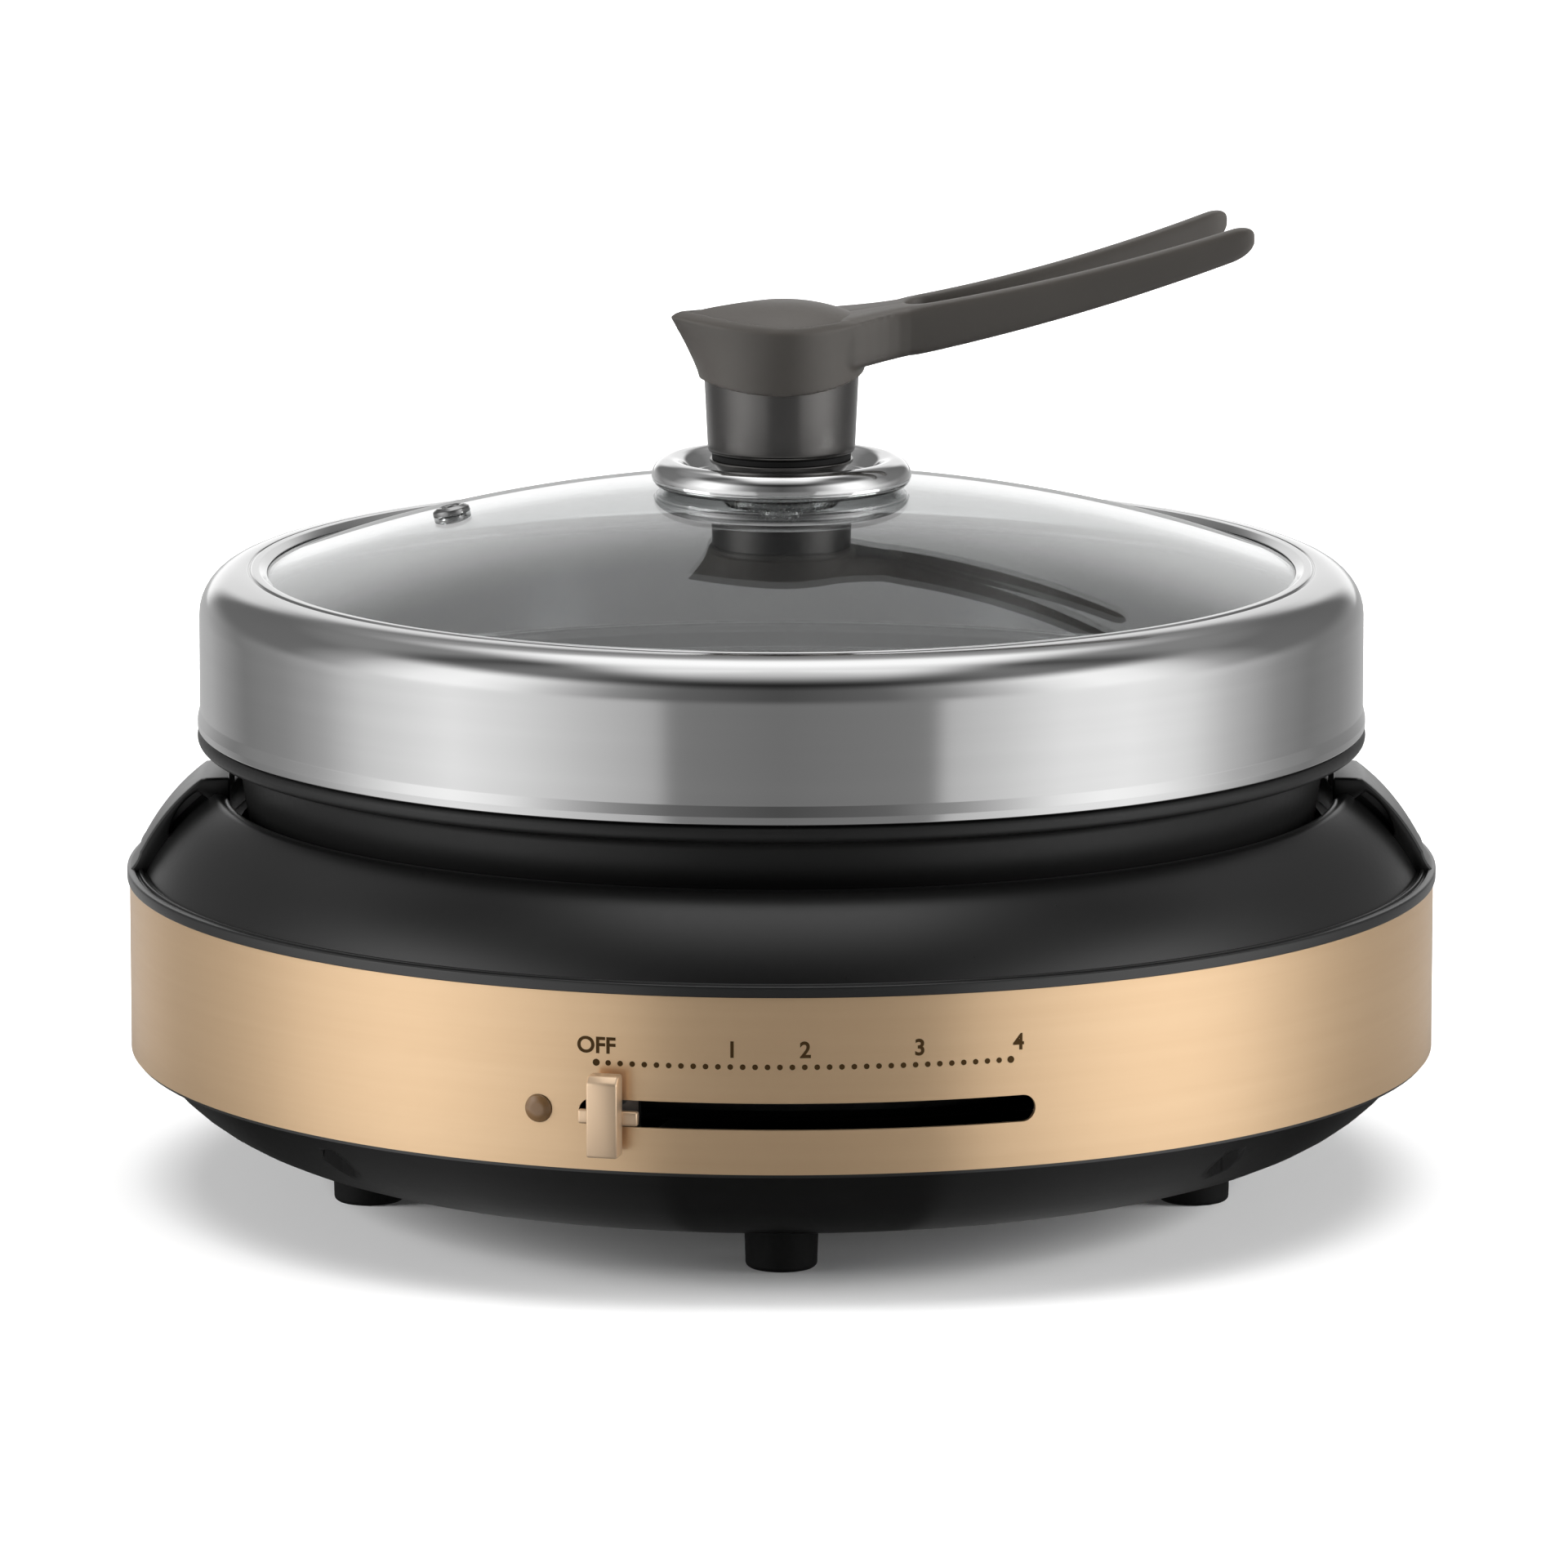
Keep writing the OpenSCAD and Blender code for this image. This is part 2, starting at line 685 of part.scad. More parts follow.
module thermostat_body() {
    top_z = plate_z - strap_sheet;
    color("#d9d4c8") difference() {
        union() {
            translate([0, 0, thermostat_z]) cylinder(r = thermostat_r, h = top_z - thermostat_z);
            translate([0, 0, bush_z]) cylinder(r = bush_r, h = thermostat_z - bush_z + 1);
            translate([-3, thermostat_r - 1, thermostat_z + 4]) cube([6, 9, 1]);
            translate([-3, -thermostat_r - 8, thermostat_z + 4]) cube([6, 9, 1]);
        }
        translate([0, 0, bush_z - 1]) cylinder(r = spindle_r + shaft_fit, h = thermostat_z - bush_z + 7);
    }
}

module thermal_fuse() {
    clip_t = 1;
    fuse_x = (strap_len / 2 + element_ring_r - element_tube_r) / 2;
    color("#c8c3b4") translate([fuse_x, 0, plate_z - clip_t]) {
        translate([-6, -5, 0]) cube([12, 10, clip_t]);
        translate([0, -12, 0.4 - fuse_r]) rotate([-90, 0, 0]) cylinder(r = fuse_r, h = 24);
    }
}

module thermostat_spindle() {
    low_z = floor_z + 1.7;
    top_z = thermostat_z + 4;
    color("#9fa2a4") turned([
        [0, low_z], [spindle_r, low_z], [spindle_r, pivot_z + fit], [spindle_r + 2.5, pivot_z + fit],
        [spindle_r + 2.5, hub_z], [spindle_r, hub_z], [spindle_r, top_z], [0, top_z]
    ]);
}

// The arm runs out under the shield, cranks up inside the band and leaves through the slot
module lever_arm() {
    end_r = band_r + 5;
    color("#aeb0b2") rotate([0, 0, lever_off]) difference() {
        union() {
            translate([0, 0, hub_z]) cylinder(r = hub_r, h = hub_top_z - hub_z);
            translate([-arm_w / 2, -crank_r, arm_z]) cube([arm_w, crank_r, arm_t]);
            translate([-arm_w / 2, -crank_r, arm_z]) cube([arm_w, arm_t, slot_z + arm_t / 2 - arm_z]);
            translate([-neck_w / 2, -end_r, slot_z - arm_t / 2]) cube([neck_w, end_r - crank_r + arm_t, arm_t]);
        }
        translate([0, 0, hub_z - 1]) cylinder(r = spindle_r + touch, h = deep);
        translate([0, 0, arm_z]) rotate([-90, 0, 0]) cylinder(r = 1.55, h = deep);
    }
}

module lever_screw() {
    color("#8c8e90") rotate([0, 0, lever_off])
        translate([0, spindle_r + 0.1, arm_z])
            rotate([-90, 0, 0])
                cylinder(r = 1.5, h = hub_r - spindle_r - 0.5);
}

// A ribbed tab on a cross bar that rides in front of the slot
module lever_knob() {
    bar_r = band_r + 0.6;
    tab_r = bar_r + bar_t - 0.2;
    face_r = band_r + tab_out;
    low_z = slot_z - tab_h / 2 - tab_drop;
    color("#cfae8b") rotate([0, 0, lever_off]) difference() {
        union() {
            translate([-bar_w / 2, -bar_r - bar_t, slot_z - bar_h / 2]) cube([bar_w, bar_t, bar_h]);
            translate([-tab_w / 2, 0, 0]) rotate([90, 0, 90]) linear_extrude(height = tab_w) polygon(concat(
                [[-tab_r, low_z + 0.8], [-tab_r, low_z + tab_h - 0.8]],
                bow([-tab_r - 0.8, low_z + tab_h], [-face_r + tab_edge, low_z + tab_h - 0.4], -0.15, 3),
                bow([-face_r, low_z + tab_h - tab_edge - 0.4], [-face_r, low_z + tab_edge + 0.4], 0.3, 5),
                bow([-face_r + tab_edge, low_z + 0.4], [-tab_r - 0.8, low_z], -0.15, 3)
            ));
        }
        translate([-neck_w / 2 - 0.1, -band_r - 5.2, slot_z - arm_t / 2 - 0.1])
            cube([neck_w + 0.2, 5, arm_t + 0.2]);
    }
}

module indicator_lamp() {
    back = band_in_r - lamp_depth;
    front = band_in_r - 2.2;
    color("#d8d2c6") out_of_band(lamp_angle, slot_z) union() {
        translate([0, 0, back]) cylinder(r = lamp_r, h = front - back);
        for (y = lamp_pin_rows) translate([0, y, back - lamp_pin_l]) cylinder(r = 0.8, h = lamp_pin_l + 1);
    }
}

module lamp_lens() {
    color("#8a6238") out_of_band(lamp_angle, slot_z) turned(concat(
        [[0, band_in_r - 2.2], [lens_r + 1.4, band_in_r - 2.2], [lens_r + 1.4, band_in_r - 0.4]],
        [[lens_r, band_in_r - 0.4]],
        bow([lens_r, band_r + 0.4], [0, band_r + 1.6], -0.6, 6)
    ));
}

function inlet_body_w() = socket_w + 2 * inlet_wall;
function inlet_body_h() = socket_h + 2 * inlet_wall;

module power_inlet() {
    color("#1d1e1f") difference() {
        union() {
            difference() {
                translate([-inlet_w / 2, inlet_face_y - inlet_flange_t, inlet_z - inlet_h / 2])
                    cube([inlet_w, inlet_flange_t, inlet_h]);
                cylinder(r = band_r + touch, h = deep);
            }
            translate([-inlet_body_w() / 2, inlet_back_y, inlet_z - inlet_body_h() / 2])
                cube([inlet_body_w(), inlet_face_y - inlet_back_y, inlet_body_h()]);
        }
        translate([-socket_w / 2, inlet_back_y + inlet_wall, inlet_z - socket_h / 2])
            cube([socket_w, deep, socket_h]);
        translate([0, inlet_face_y - inlet_flange_t, inlet_z]) flange_edge_cut();
        inlet_pin_places() cylinder(r = pin_r + touch, h = deep, center = true);
        for (x = [-inlet_screw_x, inlet_screw_x]) translate([x, 0, inlet_z]) rotate([-90, 0, 0]) {
            cylinder(r = screw_r + fit, h = deep);
            translate([0, 0, inlet_face_y - 1.6]) cylinder(r = 3.2, h = deep);
        }
    }
}

// Takes the flange's four upright corners off at an angle
module flange_edge_cut() {
    cut = 5;
    for (sx = [-1, 1], sz = [-1, 1])
        translate([sx * inlet_w / 2, 0, sz * inlet_h / 2])
            rotate([0, 45, 0])
                cube([cut, deep, cut], center = true);
}

module inlet_pin_places() {
    for (x = [-pin_pitch, 0, pin_pitch])
        translate([x, inlet_back_y, inlet_z]) rotate([-90, 0, 0]) children();
}

module inlet_pins() {
    color("#c9b072") inlet_pin_places() turned([
        [0, -pin_tail], [pin_r - 0.5, -pin_tail], [pin_r - 0.5, -touch], [pin_r, -touch],
        [pin_r, inlet_wall + socket_depth - 4], [pin_r - 1, inlet_wall + socket_depth - 3],
        [0, inlet_wall + socket_depth - 3]
    ]);
}

module inlet_screws() {
    color("#8c8e90") for (x = [-inlet_screw_x, inlet_screw_x])
        translate([x, inlet_face_y - 1.6, inlet_z]) rotate([-90, 0, 0]) turned([
            [0, -inlet_screw_l], [screw_r, -inlet_screw_l], [screw_r, 0], [3, 0], [3, 0.8], [2.2, 1.4], [0, 1.4]
        ]);
}

module terminal_block() {
    color("#e4e0d6") translate([-block_size.x / 2, block_y - block_size.y / 2, floor_z]) difference() {
        cube(block_size);
        for (i = [0 : 3])
            translate([block_size.x * (i + 0.5) / 4, block_size.y / 2, block_size.z - 5])
                cylinder(r = 2.6, h = deep);
        for (i = [0 : 2])
            translate([block_size.x * (i + 1) / 4 - 0.6, -1, block_size.z - 3])
                cube([1.2, block_size.y + 2, deep]);
    }
}

// Three leads drop from the inlet's pins and run in over the floor to the terminal block
module mains_leads() {
    tail_y = inlet_back_y - pin_tail / 2;
    top_z = inlet_z - pin_r + 0.5 - touch;
    end_y = block_y + block_size.y / 2 + touch;
    low_z = floor_z + block_size.z / 2;
    colors = ["#7a4a2a", "#3f7a3d", "#2b4f8f"];
    for (i = [0 : 2]) let (x = (i - 1) * pin_pitch)
        color(colors[i]) lead([
            [x, tail_y, top_z], [x, tail_y, top_z - 8], [x, tail_y, joint_z - 8], [x, tail_y - 3, joint_z - 16],
            [x, tail_y - 9, joint_z - 21], [x, tail_y - 18, low_z + 3], [x, end_y + 8, low_z], [x, end_y, low_z]
        ]);
}

// Two leads join the terminal block to the element's ends
module heater_leads() {
    end_a = 90 - element_open / 2;
    end_x = element_ring_r * cos(end_a);
    end_y = element_ring_r * sin(end_a);
    top_z = element_end_z - terminal_h - touch;
    from_y = block_y - block_size.y / 2 - touch;
    low_z = floor_z + block_size.z / 2;
    color("#b9b3a4") for (s = [-1, 1]) lead([
        [s * 16, from_y, low_z], [s * 16, from_y - 5, low_z], [s * 17, from_y - 11, low_z - 0.5],
        [s * (end_x - 1), end_y + 7, low_z], [s * end_x, end_y + 2, low_z + 1.5], [s * end_x, end_y, top_z - 3],
        [s * end_x, end_y, top_z]
    ]);
}

// Two leads follow the inside of the band from the lamp round to the back and in to the block
module lamp_leads() {
    start_r = band_in_r - lamp_depth - lamp_pin_l - touch;
    bx = block_size.x;
    by = block_size.y;
    run_r = cavity_r + tube_r + lead_r + 1;
    from_a = lamp_angle - 90;
    arc_from = from_a - 12;
    arc_to = -248;
    low_z = floor_z + block_size.z / 2;
    start = start_r * [cos(from_a), sin(from_a)];
    turn_in = (start_r - 5) * [cos(from_a), sin(from_a)];
    run_start = run_r * [cos(arc_from), sin(arc_from)];
    color("#c25b4e") for (row = lamp_pin_rows) lead(concat(
        [[start.x, start.y, slot_z + row], [turn_in.x, turn_in.y, slot_z + row]],
        [for (t = [0.35, 0.7]) let (p = mix(turn_in, run_start, t)) [p.x, p.y, slot_z + row]],
        [for (i = [0 : 14]) let (a = mix(arc_from, arc_to, i / 14)) [run_r * cos(a), run_r * sin(a), slot_z + row]],
        [[-1.05 * bx, block_y + 2.9 * by, slot_z - 5 + row], [-0.91 * bx, block_y + 1.9 * by, low_z + by + row]],
        [[-0.82 * bx, block_y + 0.86 * by, low_z + 5 + row], [-0.68 * bx, block_y + 0.14 * by, low_z + row]],
        [[-0.59 * bx, block_y, low_z + row], [-bx / 2 - touch, block_y, low_z + row]]
    ));
}

module base_screws() {
    head_z = joint_z - spigot_h;
    color("#8c8e90") screws() turned([
        [0, head_z - screw_head_h], [screw_head_r - 0.8, head_z - screw_head_h],
        [screw_head_r, head_z - screw_head_h + 0.8], [screw_head_r, head_z], [screw_r, head_z],
        [screw_r, joint_z + base_screw_l], [0, joint_z + base_screw_l]
    ]);
}

// Where the pan's wall meets the rim, and its rounded corner from the floor's edge up
function pan_wall_top() = [pan_top_r, rim_z - flare_h];
function pan_corner_arc() = [
    for (i = [0 : 7])
        let (a = mix(asin(floor_lap / pan_corner), 90, i / 7))
        [pan_floor_r - floor_lap + pan_corner * sin(a), seat_z + pan_corner * (1 - cos(a))]
];

// The pan's wall, with its rounded bottom corner
module cooking_pan() {
    color("#191a1b") turned(concat(
        pan_corner_arc(),
        [pan_wall_top(), pan_wall_top() - [pan_wall, 0]],
        [[pan_base_r - pan_wall, seat_z + pan_corner], [pan_base_r - pan_wall - 0.2, inner_floor_z + 2]],
        [[pan_base_r - pan_wall - 1.2, inner_floor_z + 0.6], [pan_floor_r, inner_floor_z]]
    ));
}

module pan_floor() {
    edge = pan_corner_arc()[0];
    color("#191a1b") turned([
        [0, seat_z], [pan_base_r - pan_corner, seat_z], [edge.x - 1.8, seat_z + 0.25], edge,
        [pan_floor_r, inner_floor_z], [0, inner_floor_z]
    ]);
}

// The pan's flared rim, with the upstand that centres the lid
module pan_rim() {
    rim_in = [rim_r - 2, rim_z];
    upstand_r = lid_r - lid_t - 1;
    color("#191a1b") turned(concat(
        bow(pan_wall_top(), [rim_r - 4.4, rim_z], 1.6, 6),
        bow(rim_in, [rim_r - 2, ledge_z], -1.95, 6),
        [[upstand_r, ledge_z]],
        bow([upstand_r, ledge_z + upstand_h - 1.2], [upstand_r - 3.6, ledge_z + upstand_h - 1], -1.2, 5),
        bow([upstand_r - 5, ledge_z + upstand_h - 2.6], pan_wall_top() - [pan_wall, 0], -1.2, 5)
    ));
}

// The lid's upright steel wall, with a hem round its lower edge
module lid_rim() {
    color("#bfc1c3") turned([
        [lid_r - lid_t - 0.6, lid_z], [hem_r - 0.4, lid_z], [hem_r, lid_z + 0.5], [hem_r, lid_z + 2],
        [lid_r + 0.1, lid_z + 5.4], [lid_r, lid_shoulder_z], [lid_r - lid_t, lid_shoulder_z],
        [lid_r - lid_t - 0.1, lid_z + 5]
    ]);
}

// The lid's rounded steel shoulder, with a bead and the seat for the glass
module lid_shoulder() {
    seat_low = glass_low_z - 1.3;
    color("#bfc1c3") turned(concat(
        bow([lid_r, lid_shoulder_z], [lid_r - lid_round, lid_top_z], -lid_sag, 8),
        [[bead_r + 1.8, lid_top_z + 0.1], [bead_r + 1.3, lid_top_z - 0.7]],
        bow([bead_r + 0.9, lid_top_z - 0.5], [gasket_r + 0.2, lid_top_z - 0.7], -1.05, 6),
        [[gasket_r + 0.2, seat_low], [glass_r - 3, seat_low], [glass_r - 3, seat_low - lid_t]],
        [[gasket_r + 0.2 + lid_t, seat_low - lid_t], [gasket_r + 0.2 + lid_t, lid_top_z - 1.9]],
        [[bead_r + 1.6, lid_top_z - 1.9], [bead_r + 2.2, lid_top_z - lid_t]],
        bow([lid_r - lid_round, lid_top_z - lid_t], [lid_r - lid_t, lid_shoulder_z], lid_sag - 0.3, 8)
    ));
}

module lid_glass() {
    color([0.75, 0.8, 0.8, 0.4]) difference() {
        intersection() {
            translate([0, 0, dome_z]) sphere(r = dome_r, $fn = 240);
            translate([0, 0, glass_low_z - 20]) cylinder(r = glass_r, h = deep);
        }
        translate([0, 0, dome_z]) sphere(r = dome_r - glass_t, $fn = 240);
        cylinder(r = bolt_r + 0.6, h = deep);
        at_vent() translate([0, 0, -glass_t - 2]) cylinder(r = vent_bore_r + 1.8, h = glass_t + 4);
    }
}

module at_vent() {
    translate([0, 0, dome_z]) rotate([0, 0, vent_angle]) rotate([0, vent_tilt, 0]) translate([0, 0, dome_r]) children();
}

module glass_gasket() {
    low = glass_low_z - touch;
    top = glass_edge_z + 0.5;
    color("#202122") turned([
        [glass_r - 2.8, low - 1.2], [gasket_r + 0.1, low - 1.2], [gasket_r + 0.1, top + 0.7],
        [glass_r - 0.9, top + 0.7], [glass_r - 0.9, top], [glass_r + 0.15, top], [glass_r + 0.15, low],
        [glass_r - 2.8, low]
    ]);
}

module vent_eyelet() {
    wall_r = vent_bore_r + 1.6;
    lip_r = wall_r + 1.3;
    color("#c9cbcd") at_vent() turned([
        [vent_bore_r, -glass_t - 1], [lip_r, -glass_t - 1], [lip_r, -glass_t - 0.15], [wall_r, -glass_t - 0.15],
        [wall_r, 0.1], [lip_r, 0.1], [lip_r - 0.2, 0.8], [wall_r - 0.4, 1.2], [vent_bore_r + 0.3, 1]
    ]);
}

module knob_washer() {
    color("#b9bbbd") turned([
        [bolt_r + 0.2, washer_z - washer_t], [washer_r - 1, washer_z - washer_t], [washer_r, washer_z - washer_t + 1],
        [washer_r, washer_z], [bolt_r + 0.2, washer_z]
    ]);
}

module knob_screw() {
    head_z = washer_z - washer_t;
    tip_z = stem_z + stem_h / 3;
    color("#c2c4c6") turned([
        [0, head_z - 3.6], [bolt_head_r - 1.5, head_z - 3.6], [bolt_head_r, head_z - 2], [bolt_head_r, head_z],
        [bolt_r, head_z], [bolt_r, tip_z], [0, tip_z]
    ]);
}

module knob_seal() {
    color("#202122") turned(concat(
        [for (i = [0 : 8])
            let (r = mix(bolt_r + 0.3, seal_r - 0.4, i / 8))
            [r, dome_height(r) + touch]],
        [[seal_r - 0.4, seal_top_z], [bolt_r + 0.3, seal_top_z]]
    ));
}

// A round-edged bright disc with a collar that widens up to the stem's gasket
module knob_disc() {
    edge_mid = disc_z + disc_edge * 0.4;
    crown_r = disc_r - 8.7;
    dish_z = disc_top_z - 1.2;
    color("#d4d6d8") turned(concat(
        [[bolt_r + 0.2, seal_top_z], [seal_r, seal_top_z], [seal_r, disc_z]],
        bow([disc_r - 4, disc_low_z], [disc_r, edge_mid], -1.1, 6),
        bow([disc_r, edge_mid], [crown_r, disc_top_z], -2, 8),
        [[collar_low_r + 4, dish_z + 0.2]],
        bow([collar_low_r, dish_z], [collar_top_r, gasket_z - 0.6], 0.5, 5),
        [[collar_top_r, gasket_z], [bolt_r + 0.2, gasket_z]]
    ));
}

module stem_gasket() {
    color("#18191a") translate([0, 0, gasket_z]) difference() {
        cylinder(r = stem_low_r - 1.1, h = stem_gasket_t);
        translate([0, 0, -1]) cylinder(r = bolt_r + 0.2, h = deep);
    }
}

module knob_stem() {
    color("#3c3b38") difference() {
        turned([
            [0, stem_z], [stem_low_r - 1.4, stem_z], [stem_low_r - 0.4, stem_z + 0.5], [stem_low_r, stem_z + 1.6],
            [stem_top_r, stem_top_z - 0.6],
            [stem_top_r - 0.6, stem_top_z], [0, stem_top_z]
        ]);
        translate([0, 0, stem_z - 1]) cylinder(r = bolt_r + touch, h = stem_h / 3 + 2);
        translate([0, 0, stem_top_z - stem_h / 2]) cylinder(r = stud_r + touch, h = deep);
    }
}

// Height of the head's rim along the handle
function rim_height(u) = u < dip_u
    ? dip_z + beak_rise * pow((dip_u - u) / (dip_u + beak_len), 1.5)
    : mix(dip_z, tail_high(neck_u) - 0.4, soft((u - rise_u) / rise_run));

// How far the rim's rounded edge stands above its outside, fading out towards the tail
function rim_bevel(u) = rim_bevel_h * (1 - soft((u - bevel_u) / bevel_run));

// Beak side of a leaf outline, from its widest place round the beak and back
function beak_side(beak, half_w) = concat(
    [for (i = [0 : head_points / 2 - 1]) let (t = 2 * i / head_points) [-beak * t, half_w * (1 - pow(t, 1.8))]],
    [for (i = [0 : head_points / 2 - 1]) let (t = 1 - 2 * i / head_points) [-beak * t, -half_w * (1 - pow(t, 1.8))]]
);

// A leaf outline: pointed at the beak, half an ellipse towards the tail
function leaf(beak, half_w, tail) = concat(
    [for (i = [0 : head_points - 1]) let (a = -90 + 180 * i / head_points) [tail * cos(a), half_w * sin(a)]],
    beak_side(beak, half_w)
);

// The head's outline: pointed at the beak, narrowed to the tail's neck behind
function head_half(u) = mix(head_half_w, neck_half_w, soft(u / neck_u));
function head_outline() = concat(
    [for (i = [0 : head_points / 2 - 1]) let (u = head_end_u * 2 * i / head_points) [u, -head_half(u)]],
    [[head_end_u, 0]],
    [for (i = [head_points / 2 - 1 : -1 : 1]) let (u = head_end_u * 2 * i / head_points) [u, head_half(u)]],
    beak_side(beak_len, head_half_w)
);

// The angles round the stem that match the head's outline
function head_angles() = [for (i = [0 : 2 * head_points - 1]) -90 + 180 * i / head_points];

// Rings of the head, from the skirt round the stem up to the leaf-shaped rim
function head_ring_list() = let (
        top = head_outline(),
        angles = head_angles(),
        count = len(angles)
    )
    concat(
        [for (j = [0 : head_rings]) let (t = j / head_rings) [for (i = [0 : count - 1])
            let (
                a = angles[i],
                low = [skirt_r * cos(a), skirt_r * sin(a)],
                low_z = skirt_z + skirt_wave * cos(a) * cos(a) + skirt_tilt * cos(a),
                p = mix(low, top[i], pow(t, 1.2))
            )
            [p.x, p.y, mix(low_z, rim_height(top[i].x), t)]]],
        [for (step = [[0.965, 0.65], [0.915, 1]]) [for (i = [0 : count - 1])
            [top[i].x * step[0], top[i].y * step[0], rim_height(top[i].x) + rim_bevel(top[i].x) * step[1]]]],
        [[for (i = [0 : count - 1]) [top[i].x * 0.4, top[i].y * 0.4, dip_z]]]
    );

// Sides of the tail along the handle
function tail_low(u) = tail_low_z + tail_slope * u + tail_lift * pow(u / tail_len, 2);
function tail_high(u) = tail_low(u) + mix(root_h, tip_h, u / tail_len);
function tail_out(u) = neck_half_w
    + (fork_half_w - neck_half_w) * pow(clamp((u - neck_u) / (tail_len - neck_u)), 1.35);
function tail_in(u) = let (open = clamp((u - fork_start) / slot_round))
    mix(-prong_lap, tail_out(u) - prong_w, sqrt(1 - pow(1 - open, 2)));

// Stations along a prong: denser round the fork's start and at the tip
function prong_stations() = concat(
    [for (u = [8 : 7 : fork_start - 1]) u],
    [for (i = [0 : 5]) fork_start + 8 * pow(i / 5, 2)],
    [for (i = [1 : 9]) mix(fork_start + 8, tail_len - tip_round, i / 9)],
    [for (i = [1 : 5]) tail_len - tip_round + tip_round * sin(17 * i)]
);

// One ring of a prong: a soft-cornered box between its sides
function prong_ring(u) = let (
        over = clamp((u - tail_len + tip_round) / tip_round),
        shrink = sqrt(1 - over * over),
        mid_v = (tail_in(u) + tail_out(u)) / 2,
        half_v = (tail_out(u) - tail_in(u)) / 2 * mix(0.4, 1, shrink),
        mid_z = (tail_low(u) + tail_high(u)) / 2,
        half_z = (tail_high(u) - tail_low(u)) / 2 * mix(0.25, 1, shrink)
    )
    [for (i = [0 : prong_points - 1])
        let (a = 360 * (i + 0.5) / prong_points, c = cos(a), s = sin(a))
        [u, mid_v + half_v * sign(c) * pow(abs(c), 0.45), mid_z + half_z * sign(s) * pow(abs(s), 0.45)]];

module prong() {
    skin([for (u = prong_stations()) prong_ring(u)]);
}

module cap_pocket(clear) {
    translate([0, 0, pocket_z - (clear > 0 ? 0 : 1)])
        linear_extrude(height = deep)
            polygon(leaf(beak_len - cap_short + clear, head_half_w - cap_inset + clear, cap_tail + clear));
}

module handle() {
    color("#4c4a45") rotate([0, 0, handle_turn]) difference() {
        union() {
            skin(head_ring_list());
            prong();
            mirror([0, 1, 0]) prong();
        }
        cap_pocket(0.25);
        cylinder(r = stud_r + 0.4, h = deep);
        cylinder(r = stem_top_r + fit, h = stem_top_z + touch);
    }
}

module handle_screw() {
    seat = pocket_z;
    tip_z = stem_top_z - stem_h / 2 + 0.5;
    color("#8c8e90") turned([
        [0, tip_z], [stud_r, tip_z], [stud_r, seat], [3.4, seat], [3.4, seat + 1.2], [2.6, seat + 1.8], [0, seat + 1.8]
    ]);
}

// A leaf-shaped dome that drops into the head's pocket and hides the screw
module handle_cap() {
    edge = leaf(beak_len - cap_short, head_half_w - cap_inset, cap_tail);
    count = len(edge);
    rise = [for (p = edge) rim_height(p.x) + rim_bevel(p.x) - 0.4];
    rings = concat(
        [[for (p = edge) [p.x, p.y, pocket_z]]],
        [for (t = [1, 0.9, 0.75, 0.55, 0.3, 0.06]) [for (i = [0 : count - 1])
            [edge[i].x * t, edge[i].y * t, mix(apex_cap_z, rise[i], pow(t, 2.2))]]]
    );
    color("#55534e") rotate([0, 0, handle_turn]) difference() {
        skin(rings);
        cylinder(r = 4, h = pocket_z + 2.6);
    }
}

base_tray();
side_band();
top_guard();
for (i = [1 : foot_count])
    foot(i);
heat_shield();
shield_floor();
heater_plate();
heating_element();
element_terminals();
for (i = [1 : post_count])
    heater_post(i);
thermostat_bracket();
bracket_screws();
thermostat_body();
thermal_fuse();
thermostat_spindle();
lever_arm();
lever_screw();
lever_knob();
indicator_lamp();
lamp_lens();
power_inlet();
inlet_pins();
inlet_screws();
terminal_block();
mains_leads();
heater_leads();
lamp_leads();
base_screws();
cooking_pan();
pan_floor();
pan_rim();
lid_rim();
lid_shoulder();
lid_glass();
glass_gasket();
vent_eyelet();
knob_washer();
knob_screw();
knob_seal();
knob_disc();
stem_gasket();
knob_stem();
handle();
handle_screw();
handle_cap();
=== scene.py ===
import json
import math

import bmesh
import bpy
from mathutils import Matrix, Vector


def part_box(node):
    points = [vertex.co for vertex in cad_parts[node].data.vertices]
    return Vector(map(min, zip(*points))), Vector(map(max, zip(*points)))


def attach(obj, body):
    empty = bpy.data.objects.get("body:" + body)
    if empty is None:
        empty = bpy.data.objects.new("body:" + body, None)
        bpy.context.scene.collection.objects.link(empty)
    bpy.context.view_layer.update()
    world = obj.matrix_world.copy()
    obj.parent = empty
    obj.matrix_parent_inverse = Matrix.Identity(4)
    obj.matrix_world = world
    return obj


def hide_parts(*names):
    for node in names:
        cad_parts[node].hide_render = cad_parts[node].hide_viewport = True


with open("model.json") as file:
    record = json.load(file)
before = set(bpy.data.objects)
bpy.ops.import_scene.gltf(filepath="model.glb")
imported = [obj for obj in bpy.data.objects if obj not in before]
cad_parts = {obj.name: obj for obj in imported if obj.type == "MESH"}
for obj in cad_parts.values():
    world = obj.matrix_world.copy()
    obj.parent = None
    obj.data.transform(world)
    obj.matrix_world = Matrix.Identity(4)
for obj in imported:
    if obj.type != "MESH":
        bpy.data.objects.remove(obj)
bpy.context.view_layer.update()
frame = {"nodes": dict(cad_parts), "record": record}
mm = 0.001
tiny = 1e-7  # metres, between places that are meant to be the same
touching = 1e-6
print("frame loaded")


# Sizes of a node of the frame in millimetres: outer radius, lowest and highest level
def spanOf(node):
    low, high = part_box(node)
    return high.x / mm, low.z / mm, high.z / mm


def mix(a, b, t):
    return a + (b - a) * t


def clamp(t):
    return min(1.0, max(0.0, t))


def softStep(t):
    return clamp(t) ** 2 * (3 - 2 * clamp(t))


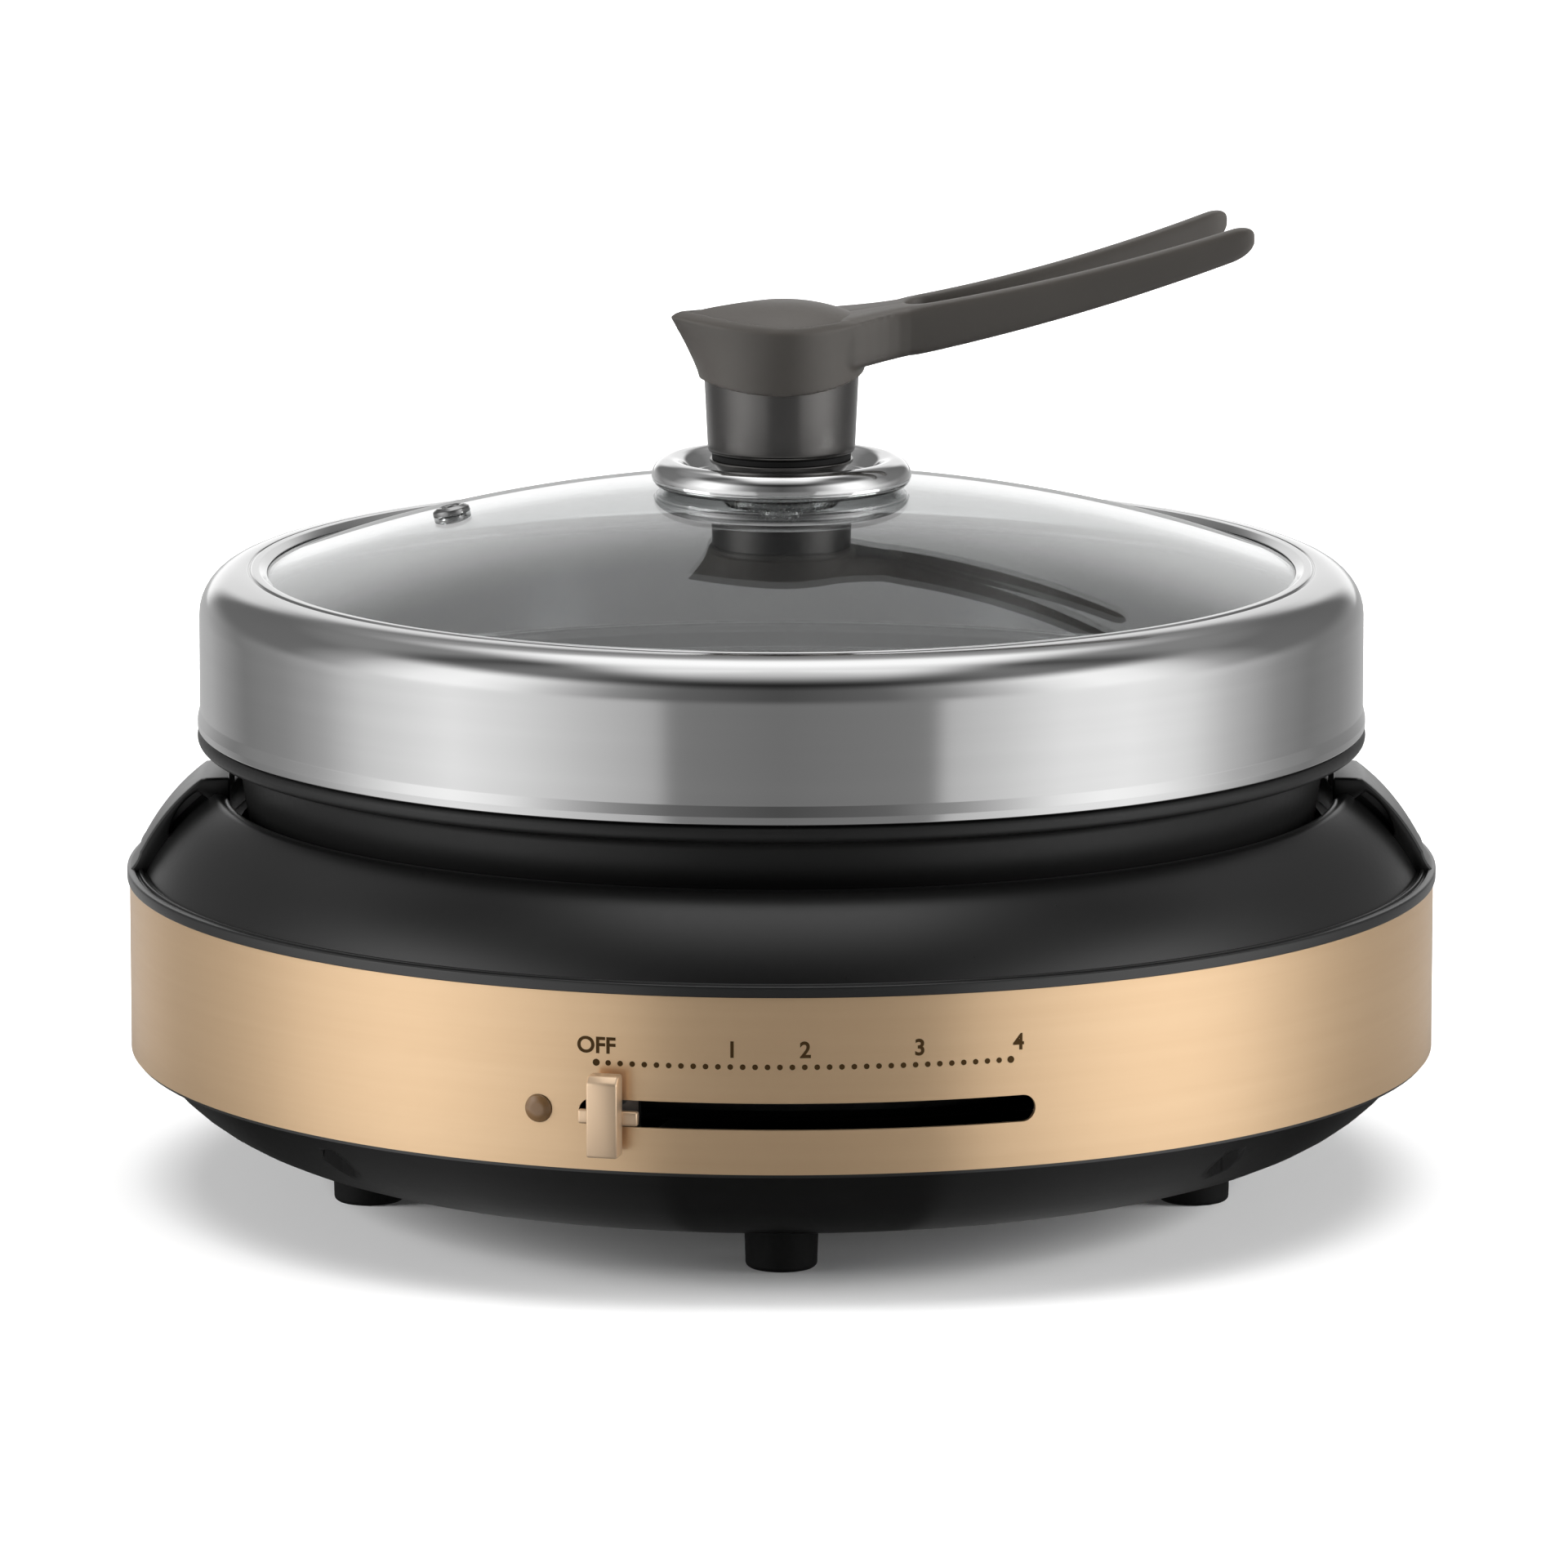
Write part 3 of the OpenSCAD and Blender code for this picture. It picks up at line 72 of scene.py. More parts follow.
# Points on an arc from one point to another that bulges to the left of the way
def bow(start, end, bulge, steps=12):
    start, end = Vector(start), Vector(end)
    way = end - start
    left = Vector((-way.y, way.x)).normalized()
    radius = (way.length_squared / 4 + bulge * bulge) / (2 * bulge)
    centre = (start + end) / 2 + left * (bulge - radius)
    first = math.atan2(start.y - centre.y, start.x - centre.x)
    last = math.atan2(end.y - centre.y, end.x - centre.x)
    turn = (last - first + math.pi) % (2 * math.pi) - math.pi
    angles = [first + turn * i / steps for i in range(steps + 1)]
    return [centre + abs(radius) * Vector((math.cos(a), math.sin(a))) for a in angles]


# A path whose corners are rounded by the third value of a point
def rounded(corners, closed=True, steps=8):
    path = []
    for i, corner in enumerate(corners):
        here = Vector(corner[:2])
        radius = corner[2] if len(corner) > 2 else 0
        if radius == 0 or (not closed and i in (0, len(corners) - 1)):
            path.append(here)
            continue
        back = (Vector(corners[i - 1][:2]) - here).normalized()
        ahead = (Vector(corners[(i + 1) % len(corners)][:2]) - here).normalized()
        half = back.angle(ahead) / 2
        reach = radius / math.tan(half)
        sag = radius * (1 - math.sin(half))
        side = 1 if back.x * ahead.y - back.y * ahead.x > 0 else -1
        path += bow(here + back * reach, here + ahead * reach, side * sag, steps)
    return path


# Draws a line through places in millimetres
def drawLine(bm, places, closed=True):
    verts = [bm.verts.new(tuple(c * mm for c in place)) for place in places]
    ends = verts[1:] + verts[:1] if closed else verts[1:]
    return verts, [bm.edges.new(pair) for pair in zip(verts, ends)]


# Sweeps a drawn line about Z and gives what lies at the end of the way
def sweepLine(bm, geom, angle, steps, merge):
    return bmesh.ops.spin(
        bm,
        geom=geom,
        cent=(0, 0, 0),
        axis=(0, 0, 1),
        dvec=(0, 0, 0),
        angle=angle,
        steps=steps,
        use_merge=merge,
        use_duplicate=False,
    )["geom_last"]


# A solid of revolution about Z from a path of radius and level in millimetres
def turned(path, closed=True, steps=256):
    bm = bmesh.new()
    verts, edges = drawLine(bm, [(0, p[0], p[1]) for p in path], closed)
    sweepLine(bm, verts + edges, 2 * math.pi, steps, True)
    return bm


# The edges that meet some vertices, each once and in a fixed order
def edgesOf(verts):
    return list(dict.fromkeys(edge for vert in verts for edge in vert.link_edges))


# A closed skin that is pulled from ring to ring, each a list of places in millimetres
def stackedRings(bm, rings):
    count = len(rings[0])
    place = bm.verts.layers.int.get("place") or bm.verts.layers.int.new("place")
    made = bmesh.ops.create_circle(bm, cap_ends=False, radius=mm, segments=count)["verts"]
    for i, vert in enumerate(made):
        vert[place] = i
        vert.co = Vector(rings[0][i]) * mm
    loop = edgesOf(made)
    bmesh.ops.edgeloop_fill(bm, edges=loop)
    for ring in rings[1:]:
        pulled = bmesh.ops.extrude_edge_only(bm, edges=loop)["geom"]
        fresh = {item for item in pulled if isinstance(item, bmesh.types.BMVert)}
        for vert in fresh:
            vert.co = Vector(ring[vert[place]]) * mm
        loop = [e for e in pulled if isinstance(e, bmesh.types.BMEdge) and set(e.verts) <= fresh]
    bmesh.ops.edgeloop_fill(bm, edges=loop)
    return bm


def meshFrom(name, bm):
    mesh = bpy.data.meshes.new(name)
    bm.to_mesh(mesh)
    bm.free()
    return mesh


def newObject(name, data):
    thing = bpy.data.objects.new(name, data)
    bpy.context.scene.collection.objects.link(thing)
    return thing


# The mesh of an object with its modifiers done; the object itself goes
def finishedMesh(thing):
    bpy.context.view_layer.update()
    ready = thing.evaluated_get(bpy.context.evaluated_depsgraph_get())
    mesh = bpy.data.meshes.new_from_object(ready)
    bpy.data.objects.remove(thing)
    return mesh


# Turns a mesh, or some of its vertices, about an axis through the origin
def turnMesh(bm, angle, axis="Z", verts=None):
    matrix = Matrix.Rotation(angle, 3, axis)
    bmesh.ops.rotate(bm, verts=verts or bm.verts, cent=(0, 0, 0), matrix=matrix)


def softenEdges(bm, edges, width, segments=3):
    bmesh.ops.bevel(
        bm,
        geom=edges,
        offset=width * mm,
        affect="EDGES",
        segments=segments,
        profile=0.5,
        material=-1,
        clamp_overlap=True,
    )


# How meshes are finished: gaps in metres, angles in degrees
finishForm = {"mergeGap": 2e-6, "nodeGap": 5e-6, "flatAngle": 0.5, "softAngle": 40, "softSteps": 2}


# Makes a piece of the object; its finish is its slot's own unless another is named
def addPiece(name, bm, body, slotName, nodes, finish=None, sharp=32, merge=True):
    if merge:
        bmesh.ops.remove_doubles(bm, verts=bm.verts, dist=finishForm["mergeGap"])
    bmesh.ops.recalc_face_normals(bm, faces=bm.faces)
    return addMesh(name, meshFrom(name, bm), body, slotName, nodes, finish, sharp)


def addMesh(name, mesh, body, slotName, nodes, finish=None, sharp=32):
    mesh.materials.append(materials[finish or slotName])
    mesh.shade_smooth()
    if sharp:
        mesh.set_sharp_from_angle(angle=math.radians(sharp))
    piece = newObject(name, mesh)
    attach(piece, body)
    if nodes:
        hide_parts(*nodes)
    return piece


# A finished copy of a node: merged, with softened edges and even shading
def dressedCopy(node, name, body, slotName, edge=0.0, sharp=32):
    bm = bmesh.new()
    bm.from_mesh(frame["nodes"][node].data)
    bmesh.ops.remove_doubles(bm, verts=bm.verts, dist=finishForm["nodeGap"])
    bmesh.ops.dissolve_limit(
        bm,
        angle_limit=math.radians(finishForm["flatAngle"]),
        verts=bm.verts,
        edges=bm.edges,
        use_dissolve_boundaries=False,
    )
    piece = addPiece(name, bm, body, slotName, [node], sharp=sharp)
    if edge:
        soft = piece.modifiers.new("softEdges", "BEVEL")
        soft.width = edge * mm
        soft.segments = finishForm["softSteps"]
        soft.limit_method = "ANGLE"
        soft.angle_limit = math.radians(finishForm["softAngle"])
    even = piece.modifiers.new("evenShading", "WEIGHTED_NORMAL")
    even.keep_sharp = True
    return piece


# Node groups that several materials share
def newGroup(name, inputs, outputs):
    group = bpy.data.node_groups.new(name, "ShaderNodeTree")
    for label, value in inputs:
        socket = group.interface.new_socket(label, in_out="INPUT", socket_type="NodeSocketFloat")
        socket.default_value = value
    for label in outputs:
        group.interface.new_socket(label, in_out="OUTPUT", socket_type="NodeSocketFloat")
    return group, group.nodes.new("NodeGroupInput"), group.nodes.new("NodeGroupOutput")


def mathNode(tree, operation, first, second=None):
    node = tree.nodes.new("ShaderNodeMath")
    node.operation = operation
    for socket, value in zip(node.inputs, (first, second)):
        if value is None:
            continue
        if isinstance(value, (int, float)):
            socket.default_value = value
        else:
            tree.links.new(value, socket)
    return node.outputs[0]


def rangeNode(tree, value, low, high):
    node = tree.nodes.new("ShaderNodeMapRange")
    tree.links.new(value, node.inputs["Value"])
    node.inputs["To Min"].default_value = low
    node.inputs["To Max"].default_value = high
    return node.outputs["Result"]


# Fine moulded or cast texture: a height, a mottle and a slow drift
def makeGrainGroup():
    group, given, result = newGroup("grainMasks", [("Scale", 4000.0)], ["Height", "Mottle", "Drift"])
    coords = group.nodes.new("ShaderNodeTexCoord")
    for label, divide, detail in (("Height", 1, 3), ("Mottle", 5, 4), ("Drift", 180, 3)):
        noise = group.nodes.new("ShaderNodeTexNoise")
        noise.inputs["Detail"].default_value = detail
        group.links.new(coords.outputs["Object"], noise.inputs["Vector"])
        scale = mathNode(group, "DIVIDE", given.outputs["Scale"], divide)
        group.links.new(scale, noise.inputs["Scale"])
        group.links.new(noise.outputs["Fac"], result.inputs[label])
    return group


# Grain that runs round the axis: fine lines, broad bands and short breaks
def makeBrushGroup():
    inputs = [("Fine", 2600.0), ("Run", 2.4)]
    group, given, result = newGroup("brushMasks", inputs, ["Lines", "Bands", "Breaks"])
    coords = group.nodes.new("ShaderNodeTexCoord")
    parts = group.nodes.new("ShaderNodeSeparateXYZ")
    group.links.new(coords.outputs["Object"], parts.inputs[0])
    x, y, z = parts.outputs
    angle = mathNode(group, "ARCTAN2", x, mathNode(group, "MULTIPLY", y, -1))
    spread = mathNode(group, "ADD", mathNode(group, "MULTIPLY", x, x), mathNode(group, "MULTIPLY", y, y))
    radius = mathNode(group, "SQRT", spread)
    settings = (("Lines", 1, 1, 2), ("Bands", 9, 0.5, 3), ("Breaks", 2.2, 9, 3))
    for label, divide, along, detail in settings:
        fine = mathNode(group, "DIVIDE", given.outputs["Fine"], divide)
        run = mathNode(group, "MULTIPLY", given.outputs["Run"], along)
        where = group.nodes.new("ShaderNodeCombineXYZ")
        group.links.new(mathNode(group, "MULTIPLY", angle, run), where.inputs["X"])
        group.links.new(mathNode(group, "MULTIPLY", radius, fine), where.inputs["Y"])
        group.links.new(mathNode(group, "MULTIPLY", z, fine), where.inputs["Z"])
        noise = group.nodes.new("ShaderNodeTexNoise")
        noise.inputs["Scale"].default_value = 1
        noise.inputs["Detail"].default_value = detail
        group.links.new(where.outputs[0], noise.inputs["Vector"])
        group.links.new(noise.outputs["Fac"], result.inputs[label])
    return group


grainGroup = makeGrainGroup()
brushGroup = makeBrushGroup()


# A material with a colour that drifts between two tones, and a mottled roughness
def makeMaterial(name, tones, rough, metallic=0.0, grain=4000.0, depth=0.02, brush=None, **sockets):
    material = bpy.data.materials.new(name)
    material.use_nodes = True
    tree = material.node_tree
    surface = tree.nodes["Principled BSDF"]
    surface.inputs["Metallic"].default_value = metallic
    for label, value in sockets.items():
        surface.inputs[label.replace("_", " ")].default_value = value
    masks = tree.nodes.new("ShaderNodeGroup")
    if brush:
        masks.node_tree = brushGroup
        masks.inputs["Fine"].default_value = brush
        tint, mottle, height = "Bands", "Breaks", "Lines"
    else:
        masks.node_tree = grainGroup
        masks.inputs["Scale"].default_value = grain
        tint, mottle, height = "Drift", "Mottle", "Height"
    ramp = tree.nodes.new("ShaderNodeValToRGB")
    ramp.color_ramp.elements[0].position = 0.3
    ramp.color_ramp.elements[0].color = (*tones[0], 1)
    ramp.color_ramp.elements[1].position = 0.7
    ramp.color_ramp.elements[1].color = (*tones[1], 1)
    tree.links.new(masks.outputs[tint], ramp.inputs[0])
    tree.links.new(ramp.outputs[0], surface.inputs["Base Color"])
    tree.links.new(rangeNode(tree, masks.outputs[mottle], *rough), surface.inputs["Roughness"])
    if depth:
        bump = tree.nodes.new("ShaderNodeBump")
        bump.inputs["Strength"].default_value = 0.6
        bump.inputs["Distance"].default_value = depth * mm
        tree.links.new(masks.outputs[height], bump.inputs["Height"])
        tree.links.new(bump.outputs[0], surface.inputs["Normal"])
    return material


def grey(level, warm=0.0):
    return (level * (1 + warm), level, level * (1 - warm))


materials = {
    "black_plastic": makeMaterial(
        "blackPlastic", [grey(0.0025), grey(0.0035)], (0.26, 0.32),
        grain=2600, depth=0.006, Specular_IOR_Level=0.78,
    ),
    "gold_metal": makeMaterial(
        "goldMetal", [(0.725, 0.505, 0.305), (0.75, 0.53, 0.325)], (0.26, 0.33),
        0.86, brush=2600, depth=0.0015,
    ),
    "gold_plastic": makeMaterial(
        "goldLacquer", [(0.74, 0.54, 0.36), (0.77, 0.57, 0.39)], (0.28, 0.34),
        0.8, grain=6000, depth=0.002, Coat_Weight=0.2,
    ),
    "black_rubber": makeMaterial(
        "blackRubber", [grey(0.004), grey(0.006)], (0.55, 0.7),
        grain=3000, depth=0.012, Specular_IOR_Level=0.35,
    ),
    "inner_steel": makeMaterial(
        "innerSteel", [grey(0.5), grey(0.62)], (0.28, 0.45), 1.0, grain=1500, depth=0.01
    ),
    "cast_aluminium": makeMaterial(
        "castAluminium", [grey(0.38), grey(0.52)], (0.35, 0.55), 1.0, brush=900, depth=0.02
    ),
    "turned_steel": makeMaterial(
        "turnedSteel", [grey(0.45), grey(0.6)], (0.18, 0.34), 1.0, grain=5000, depth=0.006
    ),
    "element_sheath": makeMaterial(
        "elementSheath", [grey(0.09), grey(0.16, 0.05)], (0.4, 0.6), 0.9, grain=1800, depth=0.02
    ),
    "brass": makeMaterial(
        "bareBrass", [(0.55, 0.39, 0.14), (0.66, 0.49, 0.2)], (0.2, 0.36),
        1.0, grain=4000, depth=0.005,
    ),
    "pale_ceramic": makeMaterial(
        "paleCeramic", [(0.62, 0.57, 0.47), (0.7, 0.66, 0.57)], (0.3, 0.45), grain=2500, depth=0.01
    ),
    "amber_lens": makeMaterial(
        "amberLens", [(0.1, 0.053, 0.02), (0.13, 0.07, 0.028)], (0.12, 0.2),
        grain=3000, depth=0.003, Coat_Weight=0.6,
    ),
    "lead_sheath": makeMaterial(
        "leadSheath", [(0.22, 0.15, 0.1), (0.28, 0.2, 0.14)], (0.4, 0.55), grain=2500, depth=0.01
    ),
    "nonstick": makeMaterial(
        "nonstickCoat", [grey(0.005), grey(0.007)], (0.34, 0.46),
        grain=2200, depth=0.008, Specular_IOR_Level=0.4,
    ),
    # The same coating as nonstick, painted lighter: painted light inside the pan
    "nonstick_painted_light": makeMaterial(
        "panLiningPaintedLight", [grey(0.042), grey(0.052)], (0.34, 0.46),
        grain=2200, depth=0.008, Specular_IOR_Level=0.4,
    ),
    "lid_steel": makeMaterial(
        "lidSteel", [grey(0.597), grey(0.615)], (0.12, 0.138), 1.0, brush=2400, depth=0.0008
    ),
    "vent_steel": makeMaterial(
        "ventSteel", [grey(0.3), grey(0.36)], (0.16, 0.24), 1.0, grain=900, depth=0.0
    ),
    "chrome": makeMaterial(
        "brightPlate", [grey(0.72), grey(0.77)], (0.07, 0.11), 1.0, grain=900, depth=0.0
    ),
    "gunmetal": makeMaterial(
        "gunmetalLacquer", [grey(0.128, 0.03), grey(0.136, 0.03)], (0.2, 0.22),
        0.95, grain=700, depth=0.0,
    ),
    "handle_plastic": makeMaterial(
        "handleSoftTouch", [grey(0.039, 0.11), grey(0.045, 0.11)], (0.42, 0.5),
        grain=3200, depth=0.008, Specular_IOR_Level=0.55,
    ),
    "print": makeMaterial(
        "brownPrint", [(0.03, 0.014, 0.002), (0.04, 0.02, 0.004)], (0.45, 0.6),
        grain=5000, depth=0.004, Specular_IOR_Level=0.12,
    ),
}


# Clear glass with a faint tint and a few soft smears in its roughness
def makeGlass():
    tints = [(0.93, 0.95, 0.95), (0.95, 0.97, 0.97)]
    material = makeMaterial("lidGlass", tints, (0.0, 0.02), grain=300, depth=0)
    surface = material.node_tree.nodes["Principled BSDF"]
    surface.inputs["Transmission Weight"].default_value = 1
    surface.inputs["IOR"].default_value = 1.5
    return material


materials["lid_glass"] = makeGlass()

# Every node of the frame takes the finish of its slot; visible ones are rebuilt below
for part in frame["record"]["subparts"]:
    node = frame["nodes"][part["node"]]
    if not node.data.materials:
        node.data.materials.append(materials[part["material_slot"]])
    for place in node.material_slots:
        place.material = materials[part["material_slot"]]
print("materials made")

# The metal band is cut flat, then bent round
bandForm = {
    "wall": 1.2,
    "slotFrom": -16.0,
    "slotTo": 20.6,
    "slotMiddle": 53.5,
    "slotHeight": 7.2,
    "lampAt": -20.7,
    "lampHole": 3.8,
    "inletMiddle": 61.65,
    "inletHalfWidth": 19.3,
    "inletHalfHeight": 13.3,
    "screwAt": 23.0,
    "screwHole": 2.05,
    "edge": 0.25,
    "edgeSteps": 2,
    "crispAngle": 1.0,
    "sharpAngle": 50.0,
    "flatShare": 0.99,
    "cuts": 300,
}


def circlePath(x, y, radius, start=0.0, sweep=360.0, steps=32):
    count = steps if sweep == 360 else steps + 1
    angles = [math.radians(start + sweep * i / steps) for i in range(count)]
    return [(x + radius * math.cos(a), y + radius * math.sin(a)) for a in angles]


# The flat band's outline with half of the inlet's notch at each end, then its slot and holes
def bandLoops(form, radius, low, high):
    end = math.pi * radius
    cutIn = end - radius * math.asin(form["inletHalfWidth"] / radius)
    cutLow = form["inletMiddle"] - form["inletHalfHeight"]
    cutHigh = form["inletMiddle"] + form["inletHalfHeight"]
    right = [(end, low), (end, cutLow), (cutIn, cutLow), (cutIn, cutHigh), (end, cutHigh), (end, high)]
    left = [(-x, y) for x, y in reversed(right)]
    slotStart, slotEnd, lamp = [math.radians(form[key]) * radius for key in ("slotFrom", "slotTo", "lampAt")]
    half = form["slotHeight"] / 2
    middle = form["slotMiddle"]
    screw = end - radius * math.asin(form["screwAt"] / radius)
    return [
        right + left,
        circlePath(slotStart, middle, half, 90, 180, 16) + circlePath(slotEnd, middle, half, -90, 180, 16),
        circlePath(lamp, middle, form["lampHole"]),
        circlePath(screw, form["inletMiddle"], form["screwHole"]),
        circlePath(-screw, form["inletMiddle"], form["screwHole"]),
    ]


# The flat band with its wall, and the level of its face
def flatBand(form):
    radius, low, high = spanOf("side_band")
    end = math.pi * radius
    bm = bmesh.new()
    for loop in bandLoops(form, radius, low, high):
        drawLine(bm, [(x, 0, y) for x, y in loop])
    bmesh.ops.triangle_fill(bm, use_beauty=True, edges=bm.edges[:], normal=(0, -1, 0))
    for i in range(1, form["cuts"]):
        place = (2 * i / form["cuts"] - 1) * end * mm
        whole = bm.verts[:] + bm.edges[:] + bm.faces[:]
        bmesh.ops.bisect_plane(bm, geom=whole, dist=tiny, plane_co=(place, 0, 0), plane_no=(1, 0, 0))
    bmesh.ops.recalc_face_normals(bm, faces=bm.faces)
    if bm.faces[:][0].normal.y > 0:
        bmesh.ops.reverse_faces(bm, faces=bm.faces)
    bmesh.ops.solidify(bm, geom=bm.faces[:], thickness=form["wall"] * mm)
    shift = max(vert.co.y for vert in bm.verts)
    for vert in bm.verts:
        vert.co.y -= shift
    front = min(vert.co.y for vert in bm.verts)
    crisp = [
        edge
        for edge in bm.edges
        if len(edge.link_faces) == 2
        and edge.calc_face_angle(0) > form["crispAngle"]
        and all(abs(vert.co.y - front) < tiny for vert in edge.verts)
        and abs(abs(edge.verts[0].co.x) - end * mm) > touching
    ]
    softenEdges(bm, crisp, form["edge"], form["edgeSteps"])
    bmesh.ops.recalc_face_normals(bm, faces=bm.faces)
    return bm, front


def buildBand(form):
    radius = spanOf("side_band")[0] * mm
    bm, front = flatBand(form)
    mesh = meshFrom("goldBand", bm)
    mesh.shade_smooth()
    mesh.set_sharp_from_angle(angle=math.radians(form["sharpAngle"]))
    normals = [corner.vector.copy() for corner in mesh.corner_normals]
    for face in mesh.polygons:
        if abs(face.normal.y) > form["flatShare"]:
            for i in face.loop_indices:
                normals[i] = face.normal.copy()
    turns = [Matrix.Rotation(vert.co.x / radius, 3, "Z") for vert in mesh.vertices]
    bent = [tuple(turns[corner.vertex_index] @ normal) for corner, normal in zip(mesh.loops, normals)]
    for vert, turn in zip(mesh.vertices, turns):
        vert.co = turn @ Vector((0, -radius + (vert.co.y - front), vert.co.z))
    mesh.update()
    mesh.normals_split_custom_set(bent)
    return mesh


addMesh("goldBand", buildBand(bandForm), "base", "gold_metal", ["side_band"], sharp=0)
print("band built")

# Black guard: a turned ring with two grooves, two strap ears, and a thin wall under each strap
guardForm = {
    "crest": 109.2,
    "mouth": 152.3,
    "wall": 2.5,
    "lip": 10.0,
    "spigot": 178.5,
    "spigotWall": 3.0,
    "spigotDepth": 6.0,
    "earHalfWidth": 16.0,
    "earMiddle": 18.0,
    "earSteps": 12,
    "earEdge": 0.7,
    "webPlace": -1.0,
    "webWall": 2.0,
}


# The guard's outer radius, its mouth, its foot on the band and the top of its ears
def guardSpan(form):
    outer, _, top = spanOf("top_guard")
    return outer, form["mouth"], spanOf("side_band")[2], top


def buildGuardRing(form):
    outer, mouth, low, _ = guardSpan(form)
    top, spigot = form["crest"], form["spigot"]
    wall, lipEnd, deep = mouth + form["wall"], top - form["lip"], low - form["spigotDepth"]
    shoulder = bow((outer - 5.2, low + 2.3), (mouth + 5.2, top - 0.75), -1.6, 24)
    crest = bow((mouth + 4.3, top - 0.1), (mouth, top - 2.6), -1.1, 10)
    inner = bow((mouth + 4.0, top - 3.1), (outer - 8.1, low), 1.6, 16)
    flange = rounded(
        [
            (spigot - form["spigotWall"], deep),
            (spigot, deep, 0.5),
            (spigot, low),
            (outer, low, 0.25),
            (outer, low + 3.0, 0.7),
            (outer - 2.0, low + 3.2, 0.25),
            (outer - 2.3, low + 2.3, 0.2),
            (outer - 2.9, low + 2.3, 0.2),
            (outer - 3.2, low + 3.1, 0.3),
            (outer - 4.1, low + 3.1, 0.3),
            (outer - 4.5, low + 2.2, 0.2),
            (outer - 5.2, low + 2.3),
        ],
        closed=False,
        steps=4,
    )
    lip = rounded(
        [
            (mouth, top - 2.6),
            (mouth, lipEnd, 0.4),
            (wall, lipEnd, 0.4),
            (wall, top - 5),
            (mouth + 4.0, top - 3.1),
        ],
        closed=False,
        steps=4,
    )
    return turned(flange + shoulder[1:] + crest + lip[1:-1] + inner)


def buildEar(form, turn):
    outer, mouth, low, top = guardSpan(form)
    end = [(mouth + 7.9, top - 0.2), (mouth + 6.5, top), (mouth, top, 0.6), (mouth, top - 6.4)]
    path = (
        bow((outer - 0.5, low + 2.6), (outer - 3.6, low + 8.0), 0.5, 8)
        + bow((outer - 4.1, low + 8.7), (mouth + 7.9, top - 0.2), -1.4, 14)
        + rounded(end, closed=False, steps=5)[1:]
        + [(mouth + 4.6, top - 6.4), (mouth + 5.8, top - 5.9)]
        + bow((mouth + 8.9, top - 3.6), (outer - 11.5, low + 13.1), 1.6, 12)
        + [(outer - 12.6, low + 11.6), (outer - 7.5, low + 4)]
        + [(outer - 4.6, low + 1.2), (outer - 1.2, low + 1.2)]
    )
    bm = bmesh.new()
    verts, edges = drawLine(bm, [(p.x, 0, p.y) for p in map(Vector, path)])
    half = math.asin(form["earHalfWidth"] / (mouth + form["earMiddle"]))
    turnMesh(bm, -half, verts=verts)
    bmesh.ops.edgeloop_fill(bm, edges=edges)
    made = sweepLine(bm, verts + edges, 2 * half, form["earSteps"], False)
    ends = [edge for edge in made if isinstance(edge, bmesh.types.BMEdge)]
    bmesh.ops.edgeloop_fill(bm, edges=ends)
    softenEdges(bm, [edge for edge in edges + ends if edge.is_valid], form["earEdge"])
    turnMesh(bm, turn)
    return bm


# The wall under a strap makes the ear's opening dark
def buildEarWeb(form, turn):
    outer, mouth, low, top = guardSpan(form)
    path = (
        [(mouth + 5.2, top - 5.6)]
        + bow((mouth + 8.9, top - 3.2), (outer - 11.3, low + 13.5), 1.6, 12)
        + [(outer - 12.2, low + 12.0), (outer - 7.0, low + 4.2), (outer - 4.8, low + 1.8)]
        + bow((outer - 6.2, low + 1.4), (mouth + 5.2, form["crest"] - 1.8), -1.6, 16)
    )
    bm = bmesh.new()
    edges = drawLine(bm, [(p.x, form["webPlace"], p.y) for p in map(Vector, path)])[1]
    made = bmesh.ops.triangle_fill(bm, use_beauty=True, edges=edges)["geom"]
    sheet = [item for item in made if isinstance(item, bmesh.types.BMFace)]
    bmesh.ops.recalc_face_normals(bm, faces=bm.faces)
    bmesh.ops.solidify(bm, geom=sheet, thickness=form["webWall"] * mm)
    turnMesh(bm, turn)
    return bm


addPiece("guardRing", buildGuardRing(guardForm), "base", "black_plastic", ["top_guard"])
for side, turn in (("Right", 0), ("Left", math.pi)):
    for name, build in (("guardEar", buildEar), ("guardWeb", buildEarWeb)):
        addPiece(name + side, build(guardForm, turn), "base", "black_plastic", ["top_guard"], sharp=40)
print("guard built")

# Tray, feet and the back's inlet keep the frame's shapes, with softened edges
edgeForm = {"foot": 0.4, "feet": 5, "inlet": 0.5, "small": 0.2, "traySharp": 30}

dressedCopy("base_tray", "baseTray", "base", "black_plastic", sharp=edgeForm["traySharp"])
for i in range(1, edgeForm["feet"] + 1):
    dressedCopy("foot_%d" % i, "foot%d" % i, "base", "black_rubber", edgeForm["foot"])
dressedCopy("power_inlet", "mainsInlet", "base", "black_plastic", edgeForm["inlet"])
dressedCopy("inlet_pins", "inletPins", "base", "brass", edgeForm["small"])
dressedCopy("inlet_screws", "inletScrews", "base", "turned_steel", edgeForm["small"])
print("tray, feet and inlet dressed")

# Pan: a black shell, and a lining of the same coating painted lighter, painted light on the inside seen
# through the glass
panForm = {
    "corner": 10.0,
    "fillet": 6.0,
    "shellFillet": 6.8,
    "rimEdge": 2.2,
    "shellFloor": 3.15,
    "liningUnder": 3.2,
    "liningFloor": 4.0,
}


# The rim's radius and level, and the level of the pan's underside
def panSpan():
    rim, _, high = spanOf("pan_rim")
    return rim, high, spanOf("pan_floor")[1]


